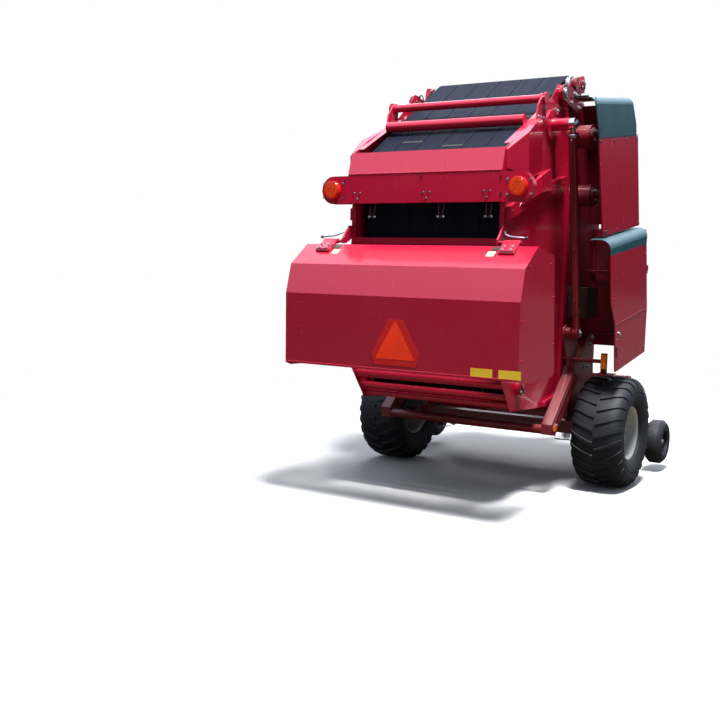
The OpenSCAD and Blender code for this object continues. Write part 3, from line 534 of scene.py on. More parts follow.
def slab(name, low, high, top=None):
    """A solid between two rings of points; the high ring is closed by one face or by those given."""
    n = len(low)
    faces = [tuple(range(n)), *(top or [tuple(range(2 * n - 1, n - 1, -1))])]
    faces += [(i, (i + 1) % n, (i + 1) % n + n, i + n) for i in range(n)]
    obj = mesh_object(name, low + high, faces)
    outward(obj)
    return obj


def circle(a, b, radius, degrees):
    """Places on a circle about (a, b), one for each angle."""
    return [(a + radius * math.cos(t), b + radius * math.sin(t)) for t in map(math.radians, degrees)]


def on_x(x, *spots):
    return [(x, y, z) for y, z in spots]


def on_y(y, *spots):
    return [(x, y, z) for x, z in spots]


# ---------------------------------------------------------------- geometry nodes


def realized(w, given, place):
    """Ends a tree: the copies are made real and take the finish."""
    real = w.node("GeometryNodeRealizeInstances", Geometry=place.outputs[0])
    paint = w.node("GeometryNodeSetMaterial", Geometry=real.outputs[0], Material=given["Finish"])
    w.node("NodeGroupOutput", Geometry=paint.outputs[0])


def geometry_tree(name, *inputs):
    sockets = [("Geometry", "Geometry", None), *inputs, ("Finish", "Material", None)]
    return new_tree("GeometryNodeTree", name, sockets, [("Geometry", "Geometry")])


def run_tree(obj, name, **values):
    """Runs a tree on the object with these inputs and keeps the mesh it gives."""
    tree = TREES[name]
    modifier = obj.modifiers.new("build", "NODES")
    modifier.node_group = tree
    inputs = {item.name: item.identifier for item in tree.interface.items_tree if item.in_out == "INPUT"}
    for label, value in values.items():
        modifier[inputs[label.replace("_", " ")]] = value
    applied(obj)


def bolt_tree():
    """Puts a washer and a six sided head on each point, turned to the point's facing."""
    tree, w, given = geometry_tree("Bolts", ("Head Size", "Float", 0.019), ("Head Height", "Float", 0.009))
    size, height = given["Head Size"], given["Head Height"]
    washer = 0.0018

    def drum(sides, radius, depth, base):
        node = w.node("GeometryNodeMeshCylinder", Vertices=sides, Radius=radius, Depth=depth)
        offset = w.node("ShaderNodeCombineXYZ", Z=w.add(w.mul(depth, 0.5), base))
        move = w.node("GeometryNodeTransform", Geometry=node.outputs["Mesh"], Translation=offset.outputs[0])
        return move.outputs[0]

    join = w.node("GeometryNodeJoinGeometry")
    for part in (
        drum(14, w.mul(size, 0.88), washer, 0.0),
        drum(6, w.mul(size, 0.577), height, washer),
        drum(8, w.mul(size, 0.28), w.mul(height, 1.35), washer),
    ):
        w.links.new(part, join.inputs[0])
    facing = w.node("GeometryNodeInputNamedAttribute", {"data_type": "FLOAT_VECTOR"}, Name="facing")
    align = w.node("FunctionNodeAlignRotationToVector", {"axis": "Z"}, Vector=facing.outputs["Attribute"])
    points = w.node("GeometryNodeMeshToPoints", Mesh=given["Geometry"])
    place = w.node(
        "GeometryNodeInstanceOnPoints",
        Points=points.outputs[0], Instance=join.outputs[0], Rotation=align.outputs[0],
    )
    realized(w, given, place)
    return tree


def repeat_tree(name, *inputs):
    """Copies the given mesh, in a row along a step or else in a ring about the X axis."""
    tree, w, given = geometry_tree(name, ("Count", "Int", 8), *inputs)
    step = given["Step"] if inputs else (0, 0, 0)
    line = w.node("GeometryNodeMeshLine", Count=given["Count"], Offset=step)
    place = w.node("GeometryNodeInstanceOnPoints", Points=line.outputs[0], Instance=given["Geometry"])
    if not inputs:
        share = w.math("DIVIDE", w.node("GeometryNodeInputIndex").outputs[0], given["Count"])
        turn = w.node("ShaderNodeCombineXYZ", X=w.mul(share, 2 * math.pi))
        w.fill(place, Rotation=w.node("FunctionNodeEulerToRotation", Euler=turn.outputs[0]).outputs[0])
    realized(w, given, place)
    return tree


# ---------------------------------------------------------------- sides


def placed(mesh, point, direction):
    """Turns a mesh that was made along the X axis to the direction and moves it to the point."""
    mesh.transform(Vector(ACROSS).rotation_difference(Vector(direction)).to_matrix().to_4x4())
    mesh.transform(Matrix.Translation(point))


class Side:
    """Makes pieces on one side: * in a name is the side's, and x is measured outward."""

    def __init__(self, name, sign):
        self.name = name
        self.sign = sign
        self.out = (sign, 0, 0)
        self.inward = (-sign, 0, 0)

    def named(self, name):
        return name.replace("*", self.name)

    def at(self, x, y, z):
        return at(self.sign * x, y, z)

    def keep(self, obj, body, finish, replaces=()):
        keep(obj, self.named(body), finish, [self.named(node) for node in replaces])

    def centre(self, node):
        """The middle of a CAD node's box."""
        low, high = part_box(self.named(node))
        x, y, z = (low + high) * 500
        return self.sign * x, y + MIDDLE, z

    def turned(self, name, body, profile, place, finish, direction=None, steps=32, replaces=()):
        """A ring or disc turned from a closed section, its axis along the direction."""
        obj = mesh_object(self.named(name), *lathe(profile, steps))
        outward(obj)
        placed(obj.data, self.at(*place), direction or self.out)
        smooth(obj.data)
        self.keep(obj, body, finish, replaces)

    def repeated(self, tree, name, body, mesh, count, finish, place, direction=ACROSS, step=None, sharp=35):
        """A ring about the direction or a row along the step, of one small mesh."""
        obj = mesh_object(self.named(name), *mesh)
        outward(obj)
        values = {"Step": [s / 1000 for s in step]} if step else {}
        run_tree(obj, tree, Count=count, Finish=MATERIALS[finish], **values)
        placed(obj.data, self.at(*place), direction)
        smooth(obj.data, sharp)
        self.keep(obj, body, finish)

    def plate(self, name, body, x0, x1, finish, outline, width=1.5):
        """A plate cut to an outline of (y, z) places, with its edges rounded by the width."""
        low, high = ([self.at(x, y, z) for y, z in outline] for x in (x0, x1))
        obj = slab(self.named(name), low, high)
        rounded(obj, width / 1000)
        self.keep(obj, body, finish)

    def block(self, name, body, low, high, finish):
        """A rounded bar or bracket between two corners."""
        (x0, y0, z0), (x1, y1, z1) = low, high
        self.plate(name, body, x0, x1, finish, [(y0, z0), (y1, z0), (y1, z1), (y0, z1)], 2)

    def pipe(self, name, body, points, diameter, finish):
        """A rigid pipe or bent rod through the points, with rounded bends."""
        curve = bpy.data.curves.new(self.named(name), "CURVE")
        curve.dimensions = "3D"
        curve.bevel_depth = diameter / 2000
        curve.bevel_resolution = 3
        curve.use_fill_caps = True
        spline = curve.splines.new("NURBS")
        spline.points.add(len(points) - 1)
        for point, place in zip(spline.points, points):
            point.co = (*self.at(*place), 1)
        spline.order_u = 3
        spline.resolution_u = 8
        spline.use_endpoint_u = True
        source = linked(curve.name, curve)
        mesh = bpy.data.meshes.new_from_object(source.evaluated_get(bpy.context.evaluated_depsgraph_get()))
        bpy.data.objects.remove(source)
        bpy.data.curves.remove(curve)
        obj = linked(self.named(name), mesh)
        outward(obj)
        smooth(mesh, 50)
        self.keep(obj, body, finish)

    def bolts(self, name, body, places, size, finish="bare_steel", facing=None):
        """Bolt heads at the places, facing outward, one given way, or a listed way each."""
        size = size / 1000 * bpy.context.scene.baler_sizes.bolt_scale
        obj = mesh_object(self.named(name), [self.at(*place) for place in places], [])
        facings = facing if isinstance(facing, list) else [facing or self.out] * len(places)
        attribute = obj.data.attributes.new("facing", "FLOAT_VECTOR", "POINT")
        attribute.data.foreach_set("vector", [c for f in facings for c in Vector(f).normalized()])
        run_tree(obj, "bolts", Head_Size=size, Head_Height=size * 0.45, Finish=MATERIALS[finish])
        smooth(obj.data, 30)
        self.keep(obj, body, finish)


SIDES = LEFT, RIGHT = Side("left", -1), Side("right", 1)
WHOLE = Side("", 1)

# node: finish, edge rounding in mm, and the least fold that counts as an edge where it is a slight one
CAD_FINISH = {
    "main_frame": ("dark_red_paint", 2.5),
    "axle_spindles": ("bare_steel", 2.0),
    "chamber_walls": ("dark_red_paint", 1.5, 20),
    "roof_arms": ("dark_red_paint", 2.0),
    "frame_rollers": ("bare_steel", 1.0),
    "valve_box": ("black_paint", 4.0),
    "front_shields": ("dark_red_paint", 1.2, 16),
    "front_panel": ("red_paint", 1.5),
    "net_box": ("red_paint", 1.5),
    "net_lid": ("red_paint", 1.5),
    "drawbar": ("red_paint", 6.0),
    "hitch_clevis": ("bare_steel", 3.0),
    "jack_tube": ("dark_red_paint", 1.5),
    "jack_leg": ("bare_steel", 2.0),
    "gearbox": ("gear_iron", 8.0),
    "input_shaft": ("bare_steel", 1.5),
    "side_drive": ("dark_red_paint", 6.0),
    "cover_arms": ("dark_red_paint", 1.0),
    "side_lamps": ("amber_lens", 3.0),
    "upper_panel_*": ("red_paint", 1.5),
    "upper_shell_right": ("teal_plastic", 2.0),
    "lower_panel_*": ("red_paint", 1.5, 12),
    "lower_band_*": ("teal_plastic", 2.0),
    "gate_walls": ("red_paint", 1.4, 16),
    "gate_beam": ("red_paint", 1.2, 16),
    "gate_tubes": ("red_paint", 1.5),
    "gate_rollers": ("bare_steel", 1.0),
    "tail_lamps": ("orange_lens", 3.0),
    "hood_hinges": ("red_paint", 2.0),
    "hood": ("red_paint", 1.2, 12),
    "barrel_*": ("dark_red_paint", 2.0),
    "rod_*": ("chrome_rod", 2.0),
    "rim_*": ("rim_silver", 1.5),
    "pickup_frame": ("red_paint", 2.0),
    "strippers": ("red_paint", 0.8),
    "gauge_arms": ("dark_red_paint", 2.0),
    "pickup_reel": ("bare_steel", 0.0),
    "gauge_*": ("tyre_rubber", 5.0),
    "windguard": ("dark_red_paint", 0.0),
}

class BALER_OT_materials(bpy.types.Operator):
    """Builds the finishes and the shared node trees"""

    bl_idname = "baler.materials"
    bl_label = "Build Finishes"

    def execute(self, context):
        build_materials()
        TREES["bolts"] = bolt_tree()
        TREES["ring"] = repeat_tree("Ring")
        TREES["row"] = repeat_tree("Row", ("Step", "Vector", (0.1, 0, 0)))
        return {"FINISHED"}


class BALER_OT_sheet_metal(bpy.types.Operator):
    """Rounds the edges of the frame, sheets and castings and paints them"""

    bl_idname = "baler.sheet_metal"
    bl_label = "Dress Sheet Metal and Frame"

    def execute(self, context):
        slots = {s["node"]: s["material_slot"] for s in frame["record"]["subparts"]}
        for pattern, (finish, width, *angle) in CAD_FINISH.items():
            for side in SIDES if "*" in pattern else (WHOLE,):
                node = side.named(pattern)
                dressed(node, finish, slots[node], width / 1000, *angle)
        return {"FINISHED"}


# ---------------------------------------------------------------- belts

# Rollers in the side view, in the order that the belts run round them.
GATE_CHAIN = [Vector(c) for c in ((507, 2409), (716, 846), (1225, 2820))]
FRAME_CHAIN = [Vector(c) for c in ((1580, 2700), (2115, 1075), (2075, 2600), (1609, 3095))]
# The radius is that of a belt's middle line round a roller.
BELT_COUNT, BELT_WIDTH, BELT_PITCH, BELT_RADIUS = 6, 178, 183, 74
# How far along the tailgate's upper run each belt's lacing lies.
LACINGS = (0.52, 0.83, 0.61, 0.90, 0.70, 0.56)


def tangent(a, b):
    """The belt's run from roller a to roller b, with its outer normal."""
    along = (b - a).normalized()
    normal = Vector((along.y, -along.x))
    return a + normal * BELT_RADIUS, b + normal * BELT_RADIUS, normal


def belt_run(chain):
    """Points and normals of the belt's middle line from the chain's first roller to its last."""
    points = []
    for a, b in zip(chain, chain[1:]):
        p, q, n = tangent(a, b)
        if points:
            last = points[-1][1]
            start, end = math.atan2(last.y, last.x), math.atan2(n.y, n.x)
            while end < start:
                end += 2 * math.pi
            steps = max(3, int((end - start) / math.radians(7.5)))
            for k in range(1, steps):
                t = start + (end - start) * k / steps
                d = Vector((math.cos(t), math.sin(t)))
                points.append((a + d * BELT_RADIUS, d))
        points += [(p, n), (q, n)]
    return points


def belt_line():
    """The whole middle line, cut finely where it crosses the tailgate's hinge."""
    # The fore run ends on the tailgate's roller, where the rear run begins.
    fore = belt_run(FRAME_CHAIN + GATE_CHAIN[:1])
    rear = belt_run(FRAME_CHAIN[-1:] + GATE_CHAIN)
    line = fore[:-1] + rear[1:]
    dense = []
    for (p, n), (q, m) in zip(line, line[1:]):
        over_hinge = abs(p.x - q.x) > 800 and min(p.y, q.y) > 2300
        steps = 40 if over_hinge else max(1, int((q - p).length / 60))
        dense += [(p.lerp(q, k / steps), n.lerp(m, k / steps).normalized()) for k in range(steps)]
    return dense + line[-1:]


class BALER_OT_belts(bpy.types.Operator):
    """Lays the chamber belts round the rollers, with their lacings"""

    bl_idname = "baler.belts"
    bl_label = "Lay Belts"

    def execute(self, context):
        half = context.scene.baler_sizes.belt_thickness / 2 * 1000
        line = belt_line()
        last = len(line) - 1
        lengths = [0.0]
        for (p, _), (q, _) in zip(line, line[1:]):
            lengths.append(lengths[-1] + (q - p).length / 1000)
        start, end = at(0, 1330, 2995), at(0, 1270, 2985)
        p, q, normal = tangent(FRAME_CHAIN[-1], GATE_CHAIN[0])
        lean = Matrix.Rotation(math.atan2(p.y - q.y, p.x - q.x), 3, "X")
        for i in range(BELT_COUNT):
            edge = (i - (BELT_COUNT - 1) / 2) * BELT_PITCH - BELT_WIDTH / 2
            ring = [(edge, half), (edge + BELT_WIDTH, half), (edge + BELT_WIDTH, -half), (edge, -half)]
            verts = [at(x, c.x + n.x * off, c.y + n.y * off) for c, n in line for x, off in ring]
            faces, uvs = [], []
            for k in range(last):
                # The map begins elsewhere on each belt, so that no two are worn alike.
                ua, ub = lengths[k] + i * 0.37, lengths[k + 1] + i * 0.37
                for j in range(4):
                    a, b = k * 4 + j, k * 4 + (j + 1) % 4
                    faces.append((a, a + 4, b + 4, b))
                    va, vb = ring[j][0] / 1000, ring[(j + 1) % 4][0] / 1000
                    uvs += [(ua, va), (ub, va), (ub, vb), (ua, vb)]
            faces += [(3, 2, 1, 0), tuple(last * 4 + j for j in range(4))]
            uvs += [(0, 0)] * 8
            obj = mesh_object("belt_%d" % (i + 1), verts, faces)
            for loop, uv in zip(obj.data.uv_layers.new(name="belt").data, uvs):
                loop.uv = uv
            outward(obj)
            smooth(obj.data, 40)
            obj.data.materials.append(MATERIALS["belt_rubber"])
            if i == 0:
                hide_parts("frame_belts", "gate_belts")
            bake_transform(obj)
            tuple(start)
            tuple(end)
            # A dark lacing across the belt, where it lies on the tailgate.
            spot = p.lerp(q, LACINGS[i]) + normal * (half + 0.3)
            verts, faces = brick((0, -13, 0), (6, 13, 2), 0.8)
            WHOLE.repeated(
                "row", "lacing_%d" % (i + 1), "tailgate", ([lean @ v for v in verts], faces), 17,
                "black_rubber", (edge + 7, spot.x, spot.y), step=(9.9, 0, 0), sharp=30,
            )
        return {"FINISHED"}


# ---------------------------------------------------------------- tyres

# A road tyre's outer half and lining: places across and radius.
CARCASS = [
    (60, 422.5), (108, 420), (140, 414), (161, 405), (174, 393), (184, 378), (192, 362), (197, 345),
    (199.5, 332), (199.5, 324), (198.2, 322), (198.2, 312), (199.5, 310), (199.5, 302), (197, 288),
    (190, 262), (180, 240), (172, 226), (157, 219), (148, 211), (138.5, 198),
]
LINING = [(120, 198), (156, 237), (180, 347), (154, 393), (80, 407)]
# A lug's top and foot, from near the middle of the tread down over the shoulder.
LUG_TOP = [
    (7, 436.8), (50, 436.2), (95, 433.6), (132, 428), (158, 419), (176, 406), (188, 389), (196, 368), (199.6, 350),
]
LUG_FOOT = [
    (5, 421), (50, 420.5), (95, 418), (130, 413), (154, 404), (168, 393), (178, 379), (188, 361), (194, 345),
]
LUGS = 26


def lug_mesh(face):
    """One slanting lug of the left (-1) or right (1) half of a tread, which stand half a lug apart."""
    verts, faces = [], []
    shift = math.pi / LUGS if face > 0 else 0
    for i, (top, foot) in enumerate(zip(LUG_TOP, LUG_FOOT)):
        turn = 0.012 + 0.19 * (top[0] / 200) ** 1.25 - shift
        width = 9 + 6.5 * top[0] / 200
        for (across, radius), spread in ((foot, width + 4), (top, width)):
            for side in (-1, 1):
                angle = turn + side * spread / 430
                verts.append(Vector((face * across, radius * math.sin(angle), radius * math.cos(angle))) / 1000)
        if i:
            a, b = 4 * i - 4, 4 * i
            for j, k in ((2, 3), (0, 2), (3, 1), (1, 0)):
                faces.append((a + j, a + k, b + k, b + j))
    end = len(verts) - 4
    faces += [(0, 1, 3, 2), (end + 2, end + 3, end + 1, end)]
    return verts, faces


class BALER_OT_tyres(bpy.types.Operator):
    """Moulds the road tyres with their lugs and bolts the wheels"""

    bl_idname = "baler.tyres"
    bl_label = "Mould Tyres"

    def execute(self, context):
        outer, lining = ([(-a, r) for a, r in reversed(half)] for half in (CARCASS, LINING))
        section = outer + CARCASS + LINING + lining
        for side in SIDES:
            body = "*_wheel"
            x, y, z = hub = side.centre("tyre_*")
            side.turned("road_tyre_*", body, section, hub, "tyre_rubber", ACROSS, 96, ("tyre_*",))
            for face in (-1, 1):
                name = "lugs_*_%d" % (face > 0)
                side.repeated("ring", name, body, lug_mesh(face), LUGS, "tyre_rubber", hub, sharp=40)
            side.bolts("wheel_nuts_*", body, on_x(x + 54.5, *circle(y, z, 104, range(15, 375, 60))), 26)
            cap = [(62, 0.5), (62, 36), (80, 38), (108, 34), (116, 26), (119, 12), (119, 0.5)]
            side.turned("hub_cap_*", body, cap, hub, "bare_steel")
            bead = [(66, 150), (66, 156), (72, 158), (74, 153)]
            side.turned("rim_bead_*", body, bead, hub, "rim_silver", steps=48)
            side.bolts("valve_*", body, [(x + 62, y + 120, z + 128)], 11, "black_rubber")
            body = "*_gauge_wheel"
            x, y, z = hub = side.centre("gauge_*")
            side.bolts("gauge_nuts_*", body, on_x(x - 5, *circle(y, z, 78, range(0, 360, 72))), 16)
            cap = [(34, 0.5), (34, 24), (46, 24), (54, 16), (56, 0.5)]
            side.turned("gauge_cap_*", body, cap, hub, "bare_steel", steps=24)
        return {"FINISHED"}


# ---------------------------------------------------------------- lamps and hood

LAMP = (729, 271.7, 2223)
BEAM_FACE = 309.6


class BALER_OT_lamps(bpy.types.Operator):
    """Adds the lamps' bezels and prisms, the beam's bolts and hooks and the legs' prisms and steps"""

    bl_idname = "baler.lamps"
    bl_label = "Fit Lamps and Beam"

    def execute(self, context):
        x, y, z = LAMP
        prism, faces = lathe([(0, 0.2), (0, 4.2), (1.6, 3.4), (2.6, 0.2)], 8)
        for side in SIDES:
            rim = [(-34, 57.5), (-34, 66), (-4, 64), (-1, 61.5), (-1, 57.5)]
            side.turned("lamp_rim_*", "tailgate", rim, LAMP, "red_lens", BACK, 48)
            for count, radius in ((1, 0), (6, 13), (12, 26), (18, 39)):
                moved = [v + Vector((0, 0, radius / 1000)) for v in prism]
                name = "prisms_*_%d" % count
                side.repeated("ring", name, "tailgate", (moved, faces), count, "orange_lens", LAMP, BACK)
            corners = [(x + c, z + d) for c in (-84, 84) for d in (-50, 50)]
            side.bolts("lamp_screws_*", "tailgate", on_y(y + 38.5, *corners), 10, facing=BACK)
            side.block("fender_step_*", "chassis", (880, 1512, 903), (1000, 1530, 912), "dark_red_paint")
            lens = [(1543.4, 948), (1541, 954), (1541, 1042), (1543.4, 1048)]
            side.plate("side_prism_*", "chassis", 930, 960, "amber_lens", lens, 1)
        groups = [(x + dx, z) for x in (-524, 39, 498) for dx, z in ((-24, 2200), (24, 2200), (0, 2158))]
        singles = [(-633, 2289), (597, 2290), (600, 2180), (-640, 2180), (0, 2316)]
        WHOLE.bolts("beam_bolts", "tailgate", on_y(BEAM_FACE, *groups), 10, "chrome_rod", BACK)
        WHOLE.bolts("beam_screws", "tailgate", on_y(BEAM_FACE, *singles), 10, "dark_red_paint", BACK)
        fold = [(310, 2330), (306.8, 2334), (308.6, 2339.5), (312.4, 2341)]
        WHOLE.plate("beam_fold", "tailgate", -598, 598, "red_paint", fold, 0.8)
        for k, x in enumerate((-425, 130, 492)):
            for d in (-20, 20):
                wire = [(x + d, 372, 2124), (x + d, 366, 2080), (x + d * 0.6, 360, 2044), (x + d * 0.6, 362, 2030)]
                WHOLE.pipe("belt_hook_%d_%d" % (k, d > 0), "tailgate", wire, 7, "dark_red_paint")
            WHOLE.block("hook_bar_%d" % k, "tailgate", (x - 34, 358, 2022), (x + 34, 366, 2040), "black_paint")
            ends = on_y(357.8, (x - 22, 2031), (x + 22, 2031))
            WHOLE.bolts("hook_bolts_%d" % k, "tailgate", ends, 12, "chrome_rod", BACK)
        return {"FINISHED"}


# The hood's slope in the side view, between its rear face and its top.
SLOPE_FOOT, SLOPE_TOP = Vector((45, 1684)), Vector((248, 1830))
SLOPE = (SLOPE_TOP - SLOPE_FOOT).normalized()
SLOPE_OUT = Vector((-SLOPE.y, SLOPE.x))
# The heights between which the hood's rear face leans out.
HOOD_EDGE, HOOD_BEND = 968, 1474
SIGN_X = 8


def on_slope(*places):
    """(y, z) places from (along, lift) on the hood's slope."""
    return [tuple(SLOPE_FOOT + SLOPE * t + SLOPE_OUT * lift) for t, lift in places]


def on_hood(x, z, lift):
    """A place at this lift off the hood's rear face."""
    return x, -HOOD_BACK / (HOOD_BEND - HOOD_EDGE) * (z - HOOD_EDGE) - lift, z


class BALER_OT_hood(bpy.types.Operator):
    """Adds the hood's hinge bridges, levers, blank plates, rivets, inner ribs and sign"""

    bl_idname = "baler.hood"
    bl_label = "Fit Hood"

    def execute(self, context):
        for side in SIDES:
            for name, x0, x1, finish, width, *outline in (
                ("hinge_bridge_*", 662, 776, "red_paint", 3,
                 (150, 0.5), (150, 12), (162, 22), (228, 22), (246, 12), (246, 0.5)),
                ("bridge_lid_*", 672, 766, "red_paint", 1.5, (158, 22), (158, 26), (222, 26), (222, 22)),
                ("slot_trim_*", 598, 652, "black_plastic", 1.5, (196, 0.5), (196, 5), (238, 5), (238, 0.5)),
                ("blank_label_*", 580, 636, "pale_plate", 0.5, (128, 0.4), (128, 1.8), (186, 1.8), (186, 0.4)),
            ):
                side.plate(name, "hood", x0, x1, finish, on_slope(*outline), width)
            spots = [(x, *spot) for x in (690, 748) for spot in on_slope((172, 26), (208, 26))]
            side.bolts("bridge_bolts_*", "hood", spots, 13, facing=(0, *SLOPE_OUT))
            lever = [(632, 340, 1930), (640, 300, 1915), (690, 285, 1892), (760, 282, 1888), (800, 292, 1884)]
            side.pipe("hood_lever_*", "tailgate", lever, 12, "bare_steel")
            knob = [(-12, 0.5), (-12, 8), (0, 11), (10, 8), (12, 0.5)]
            side.turned("lever_knob_*", "tailgate", knob, (804, 292, 1884), "black_plastic", ACROSS, 20)
            rivets = on_x(908.2, (30, 1100), (22, 1350), (130, 1700), (480, 1720), (545, 1500), (580, 1180))
            side.bolts("cheek_rivets_*", "hood", rivets, 10, "red_paint")
            rib = [
                (12, 1000), (26, 1000), (8, 1466), (60, 1672), (246, 1806), (240, 1818), (48, 1684), (-4, 1470),
            ]
            side.plate("hood_rib_*", "hood", 300, 304, "red_paint", rib, 0.8)
        for k, x in enumerate((653, 850)):
            blank = [(-1.2, 980), (-2.6, 980), (-3.8, 1036), (-2.4, 1036)]
            RIGHT.plate("blank_plate_*_%d" % k, "hood", x - 77, x + 77, "yellow_plate", blank, 0.5)
        lip = [(0.5, 968.3), (-4.2, 970), (-4.6, 982), (-0.4, 984)]
        WHOLE.plate("hood_lip", "hood", -906, 906, "red_paint", lip, 1)
        # The sign is a triangle with cut corners: an orange face on a red reflecting border.
        for name, lifts, finish, node, *half in (
            ("sign_border", (0.4, 2.6), "sign_border", ("warning_triangle",), (54, 1320), (188, 1084), (162, 1008)),
            ("sign_field", (2.8, 3.6), "sign_orange", (), (9, 1306), (150, 1056), (146, 1050)),
        ):
            outline = half + [(-x, z) for x, z in reversed(half)]
            low, high = ([at(*on_hood(x + SIGN_X, z, lift)) for x, z in outline] for lift in lifts)
            obj = slab(name, low, high)
            rounded(obj, 0.0004, 1)
            keep(obj, "hood", finish, node)
        rivet = [(0, 0.5), (0, 4.5), (0.8, 4.2), (1.5, 2.5), (1.7, 0.5)]
        for k, x in enumerate((-60, 76)):
            WHOLE.turned("sign_rivet_%d" % k, "hood", rivet, on_hood(x, 1147, 3.7), "sign_orange", BACK, 16)
        return {"FINISHED"}


# ---------------------------------------------------------------- walls and rams

WALL_FACE = 604.3
# Flared folds of the tailgate's walls: (y, z, x) round the outline. The fold runs from the third to the last.
FLARES = {
    "flare_high_*": [
        (358, 2352, 620), (354, 2474, 620), (580, 2612, 672), (960, 2792, 612), (1000, 2372, 612), (608, 2304, 672),
    ],
    "flare_low_*": [
        (548, 2104, 636), (700, 2262, 640), (868, 2345, 664), (1150, 2420, 616), (1150, 2264, 636), (882, 2228, 664),
    ],
}

# Round bearing flanges: (body, y, z, x of the face, flange diameter)
BEARINGS = [
    ("tailgate", 716, 846, 639, 100), ("tailgate", 1225, 2820, 604, 110),
    ("chassis", 1609, 3095, 661, 70), ("chassis", 2075, 2600, 630, 108), ("chassis", 2115, 1075, 630, 108),
    ("chassis", 1612, 800, 630, 108), ("chassis", 1580, 2700, 790, 118), ("chassis", 1650, 2262, 790, 118),
]


def bearing_profile(r):
    return [
        (0.3, 0.5), (0.3, r), (5, r), (7, r - 3), (7, r * 0.62), (15, r * 0.56), (17, r * 0.5),
        (17, r * 0.28), (22, r * 0.26), (22, 0.5),
    ]


class BALER_OT_walls(bpy.types.Operator):
    """Adds the walls' flared folds, bearing flanges, hinge pins and bolt rows"""

    bl_idname = "baler.walls"
    bl_label = "Fit Walls and Bearings"

    def execute(self, context):
        for side in SIDES:
            for name, places in FLARES.items():
                low = [side.at(WALL_FACE, y, z) for y, z, _ in places]
                high = [side.at(x, y, z) for y, z, x in places]
                # The rear facet up to the fold, then the part that falls back to the wall.
                a, b, c, d, e, f = range(6, 12)
                obj = slab(side.named(name), low, high, [(a, b, c, f), (f, c, d, e)])
                rounded(obj, 0.003, 2, 8)
                side.keep(obj, "tailgate", "red_paint")
            for k, (body, y, z, x, diameter) in enumerate(BEARINGS):
                r = diameter / 2
                side.turned("bearing_*_%d" % k, body, bearing_profile(r), (x, y, z), "dark_red_paint", steps=36)
                spots = on_x(x + 7, *circle(y, z, r * 0.8, range(45, 405, 90)))
                side.bolts("bearing_bolts_*_%d" % k, body, spots, 15)
            hexagon = circle(1609, 3095, 74, range(12, 372, 60))
            side.plate("roller_plate_*", "chassis", 654.5, 660.5, "red_paint", hexagon, 2)
            cap = [(0, 0.5), (0, 38), (5, 38), (7, 35), (7, 25), (12, 23), (12, 0.5)]
            side.turned("hinge_cap_*", "chassis", cap, (643.3, 1300, 2989.8), "bare_steel")
            for name, body, size, finish, x, *spots in (
                ("roof_bolts_*", "chassis", 22, "bare_steel", 643.2,
                 (1440, 2935), (1500, 3010), (1600, 2920), (1630, 2960), (1575, 3005)),
                ("rib_bolts_*", "tailgate", 13, "dark_red_paint", 634.2,
                 (450, 2071), (620, 2127), (800, 2187), (970, 2243), (1180, 2292), (1380, 2336)),
                ("tube_bolts_*", "tailgate", 16, "bare_steel", 616.2, (870, 2756), (970, 2760), (985, 2830)),
                ("plate_bolts_*", "chassis", 20, "bare_steel", 628.2,
                 (1730, 900), (1830, 900), (1930, 900), (2030, 900), (2130, 900), (2200, 620)),
                ("leg_bolts_*", "chassis", 22, "bare_steel", 730.2, (1842, 1110), (1900, 1160), (1180, 530)),
            ):
                side.bolts(name, body, on_x(x, *spots), size, finish)
            collar = [(0, 30.5), (0, 39), (10, 39), (12, 36), (12, 30.5)]
            side.turned("tube_collar_*", "tailgate", collar, (WALL_FACE, 962, 2896), "red_paint", side.inward)
            seam = [(1105, 508), (1098, 516), (1788, 1136), (1795, 1128)]
            side.plate("leg_seam_*", "chassis", 730, 733, "dark_red_paint", seam, 1)
            pin = [(0, 0.5), (0, 30), (4, 30), (5, 27), (5, 15), (12, 14), (12, 0.5)]
            side.turned("foot_pin_*", "chassis", pin, (802.3, 1410, 1216), "bare_steel")
            pin = [(0, 0.5), (0, 27), (4, 27), (5, 24), (5, 13), (9, 12), (9, 0.5)]
            side.turned("lug_pin_*", "*_rod", pin, (802.3, 1146, 2735), "bare_steel")
        verts, faces = lathe([(-4, 30), (4, 30), (4, 38), (-4, 38)], 24)
        turn = Matrix.Rotation(math.radians(60), 3, "Z") @ Matrix.Rotation(math.radians(-12), 3, "X")
        eye = mesh_object("lifting_eye", [at(-385, 966, 2950) + turn @ v for v in verts], faces)
        outward(eye)
        rounded(eye, 0.002)
        keep(eye, "tailgate", "black_paint")
        fitting = [(0, 0.5), (0, 11), (12, 11), (14, 8), (26, 8), (26, 0.5)]
        for k, place in enumerate(on_y(1649.7, (698.5, 1345), (698.5, 1390), (668.5, 1435), (668.5, 1480))):
            WHOLE.turned("valve_fitting_%d" % k, "chassis", fitting, place, "bare_steel", BACK, 12)
        return {"FINISHED"}


# A ram's foot and the rod's eye in the side view.
RAM_X, RAM_FOOT, RAM_EYE = 770, Vector((1410, 1216)), Vector((1146, 2735))
RAM_LINE = (RAM_EYE - RAM_FOOT).normalized()
RAM_BACK = Vector((-RAM_LINE.y, RAM_LINE.x))


def on_ram(along, off=0):
    return (RAM_X, *(RAM_FOOT + RAM_LINE * along + RAM_BACK * off))


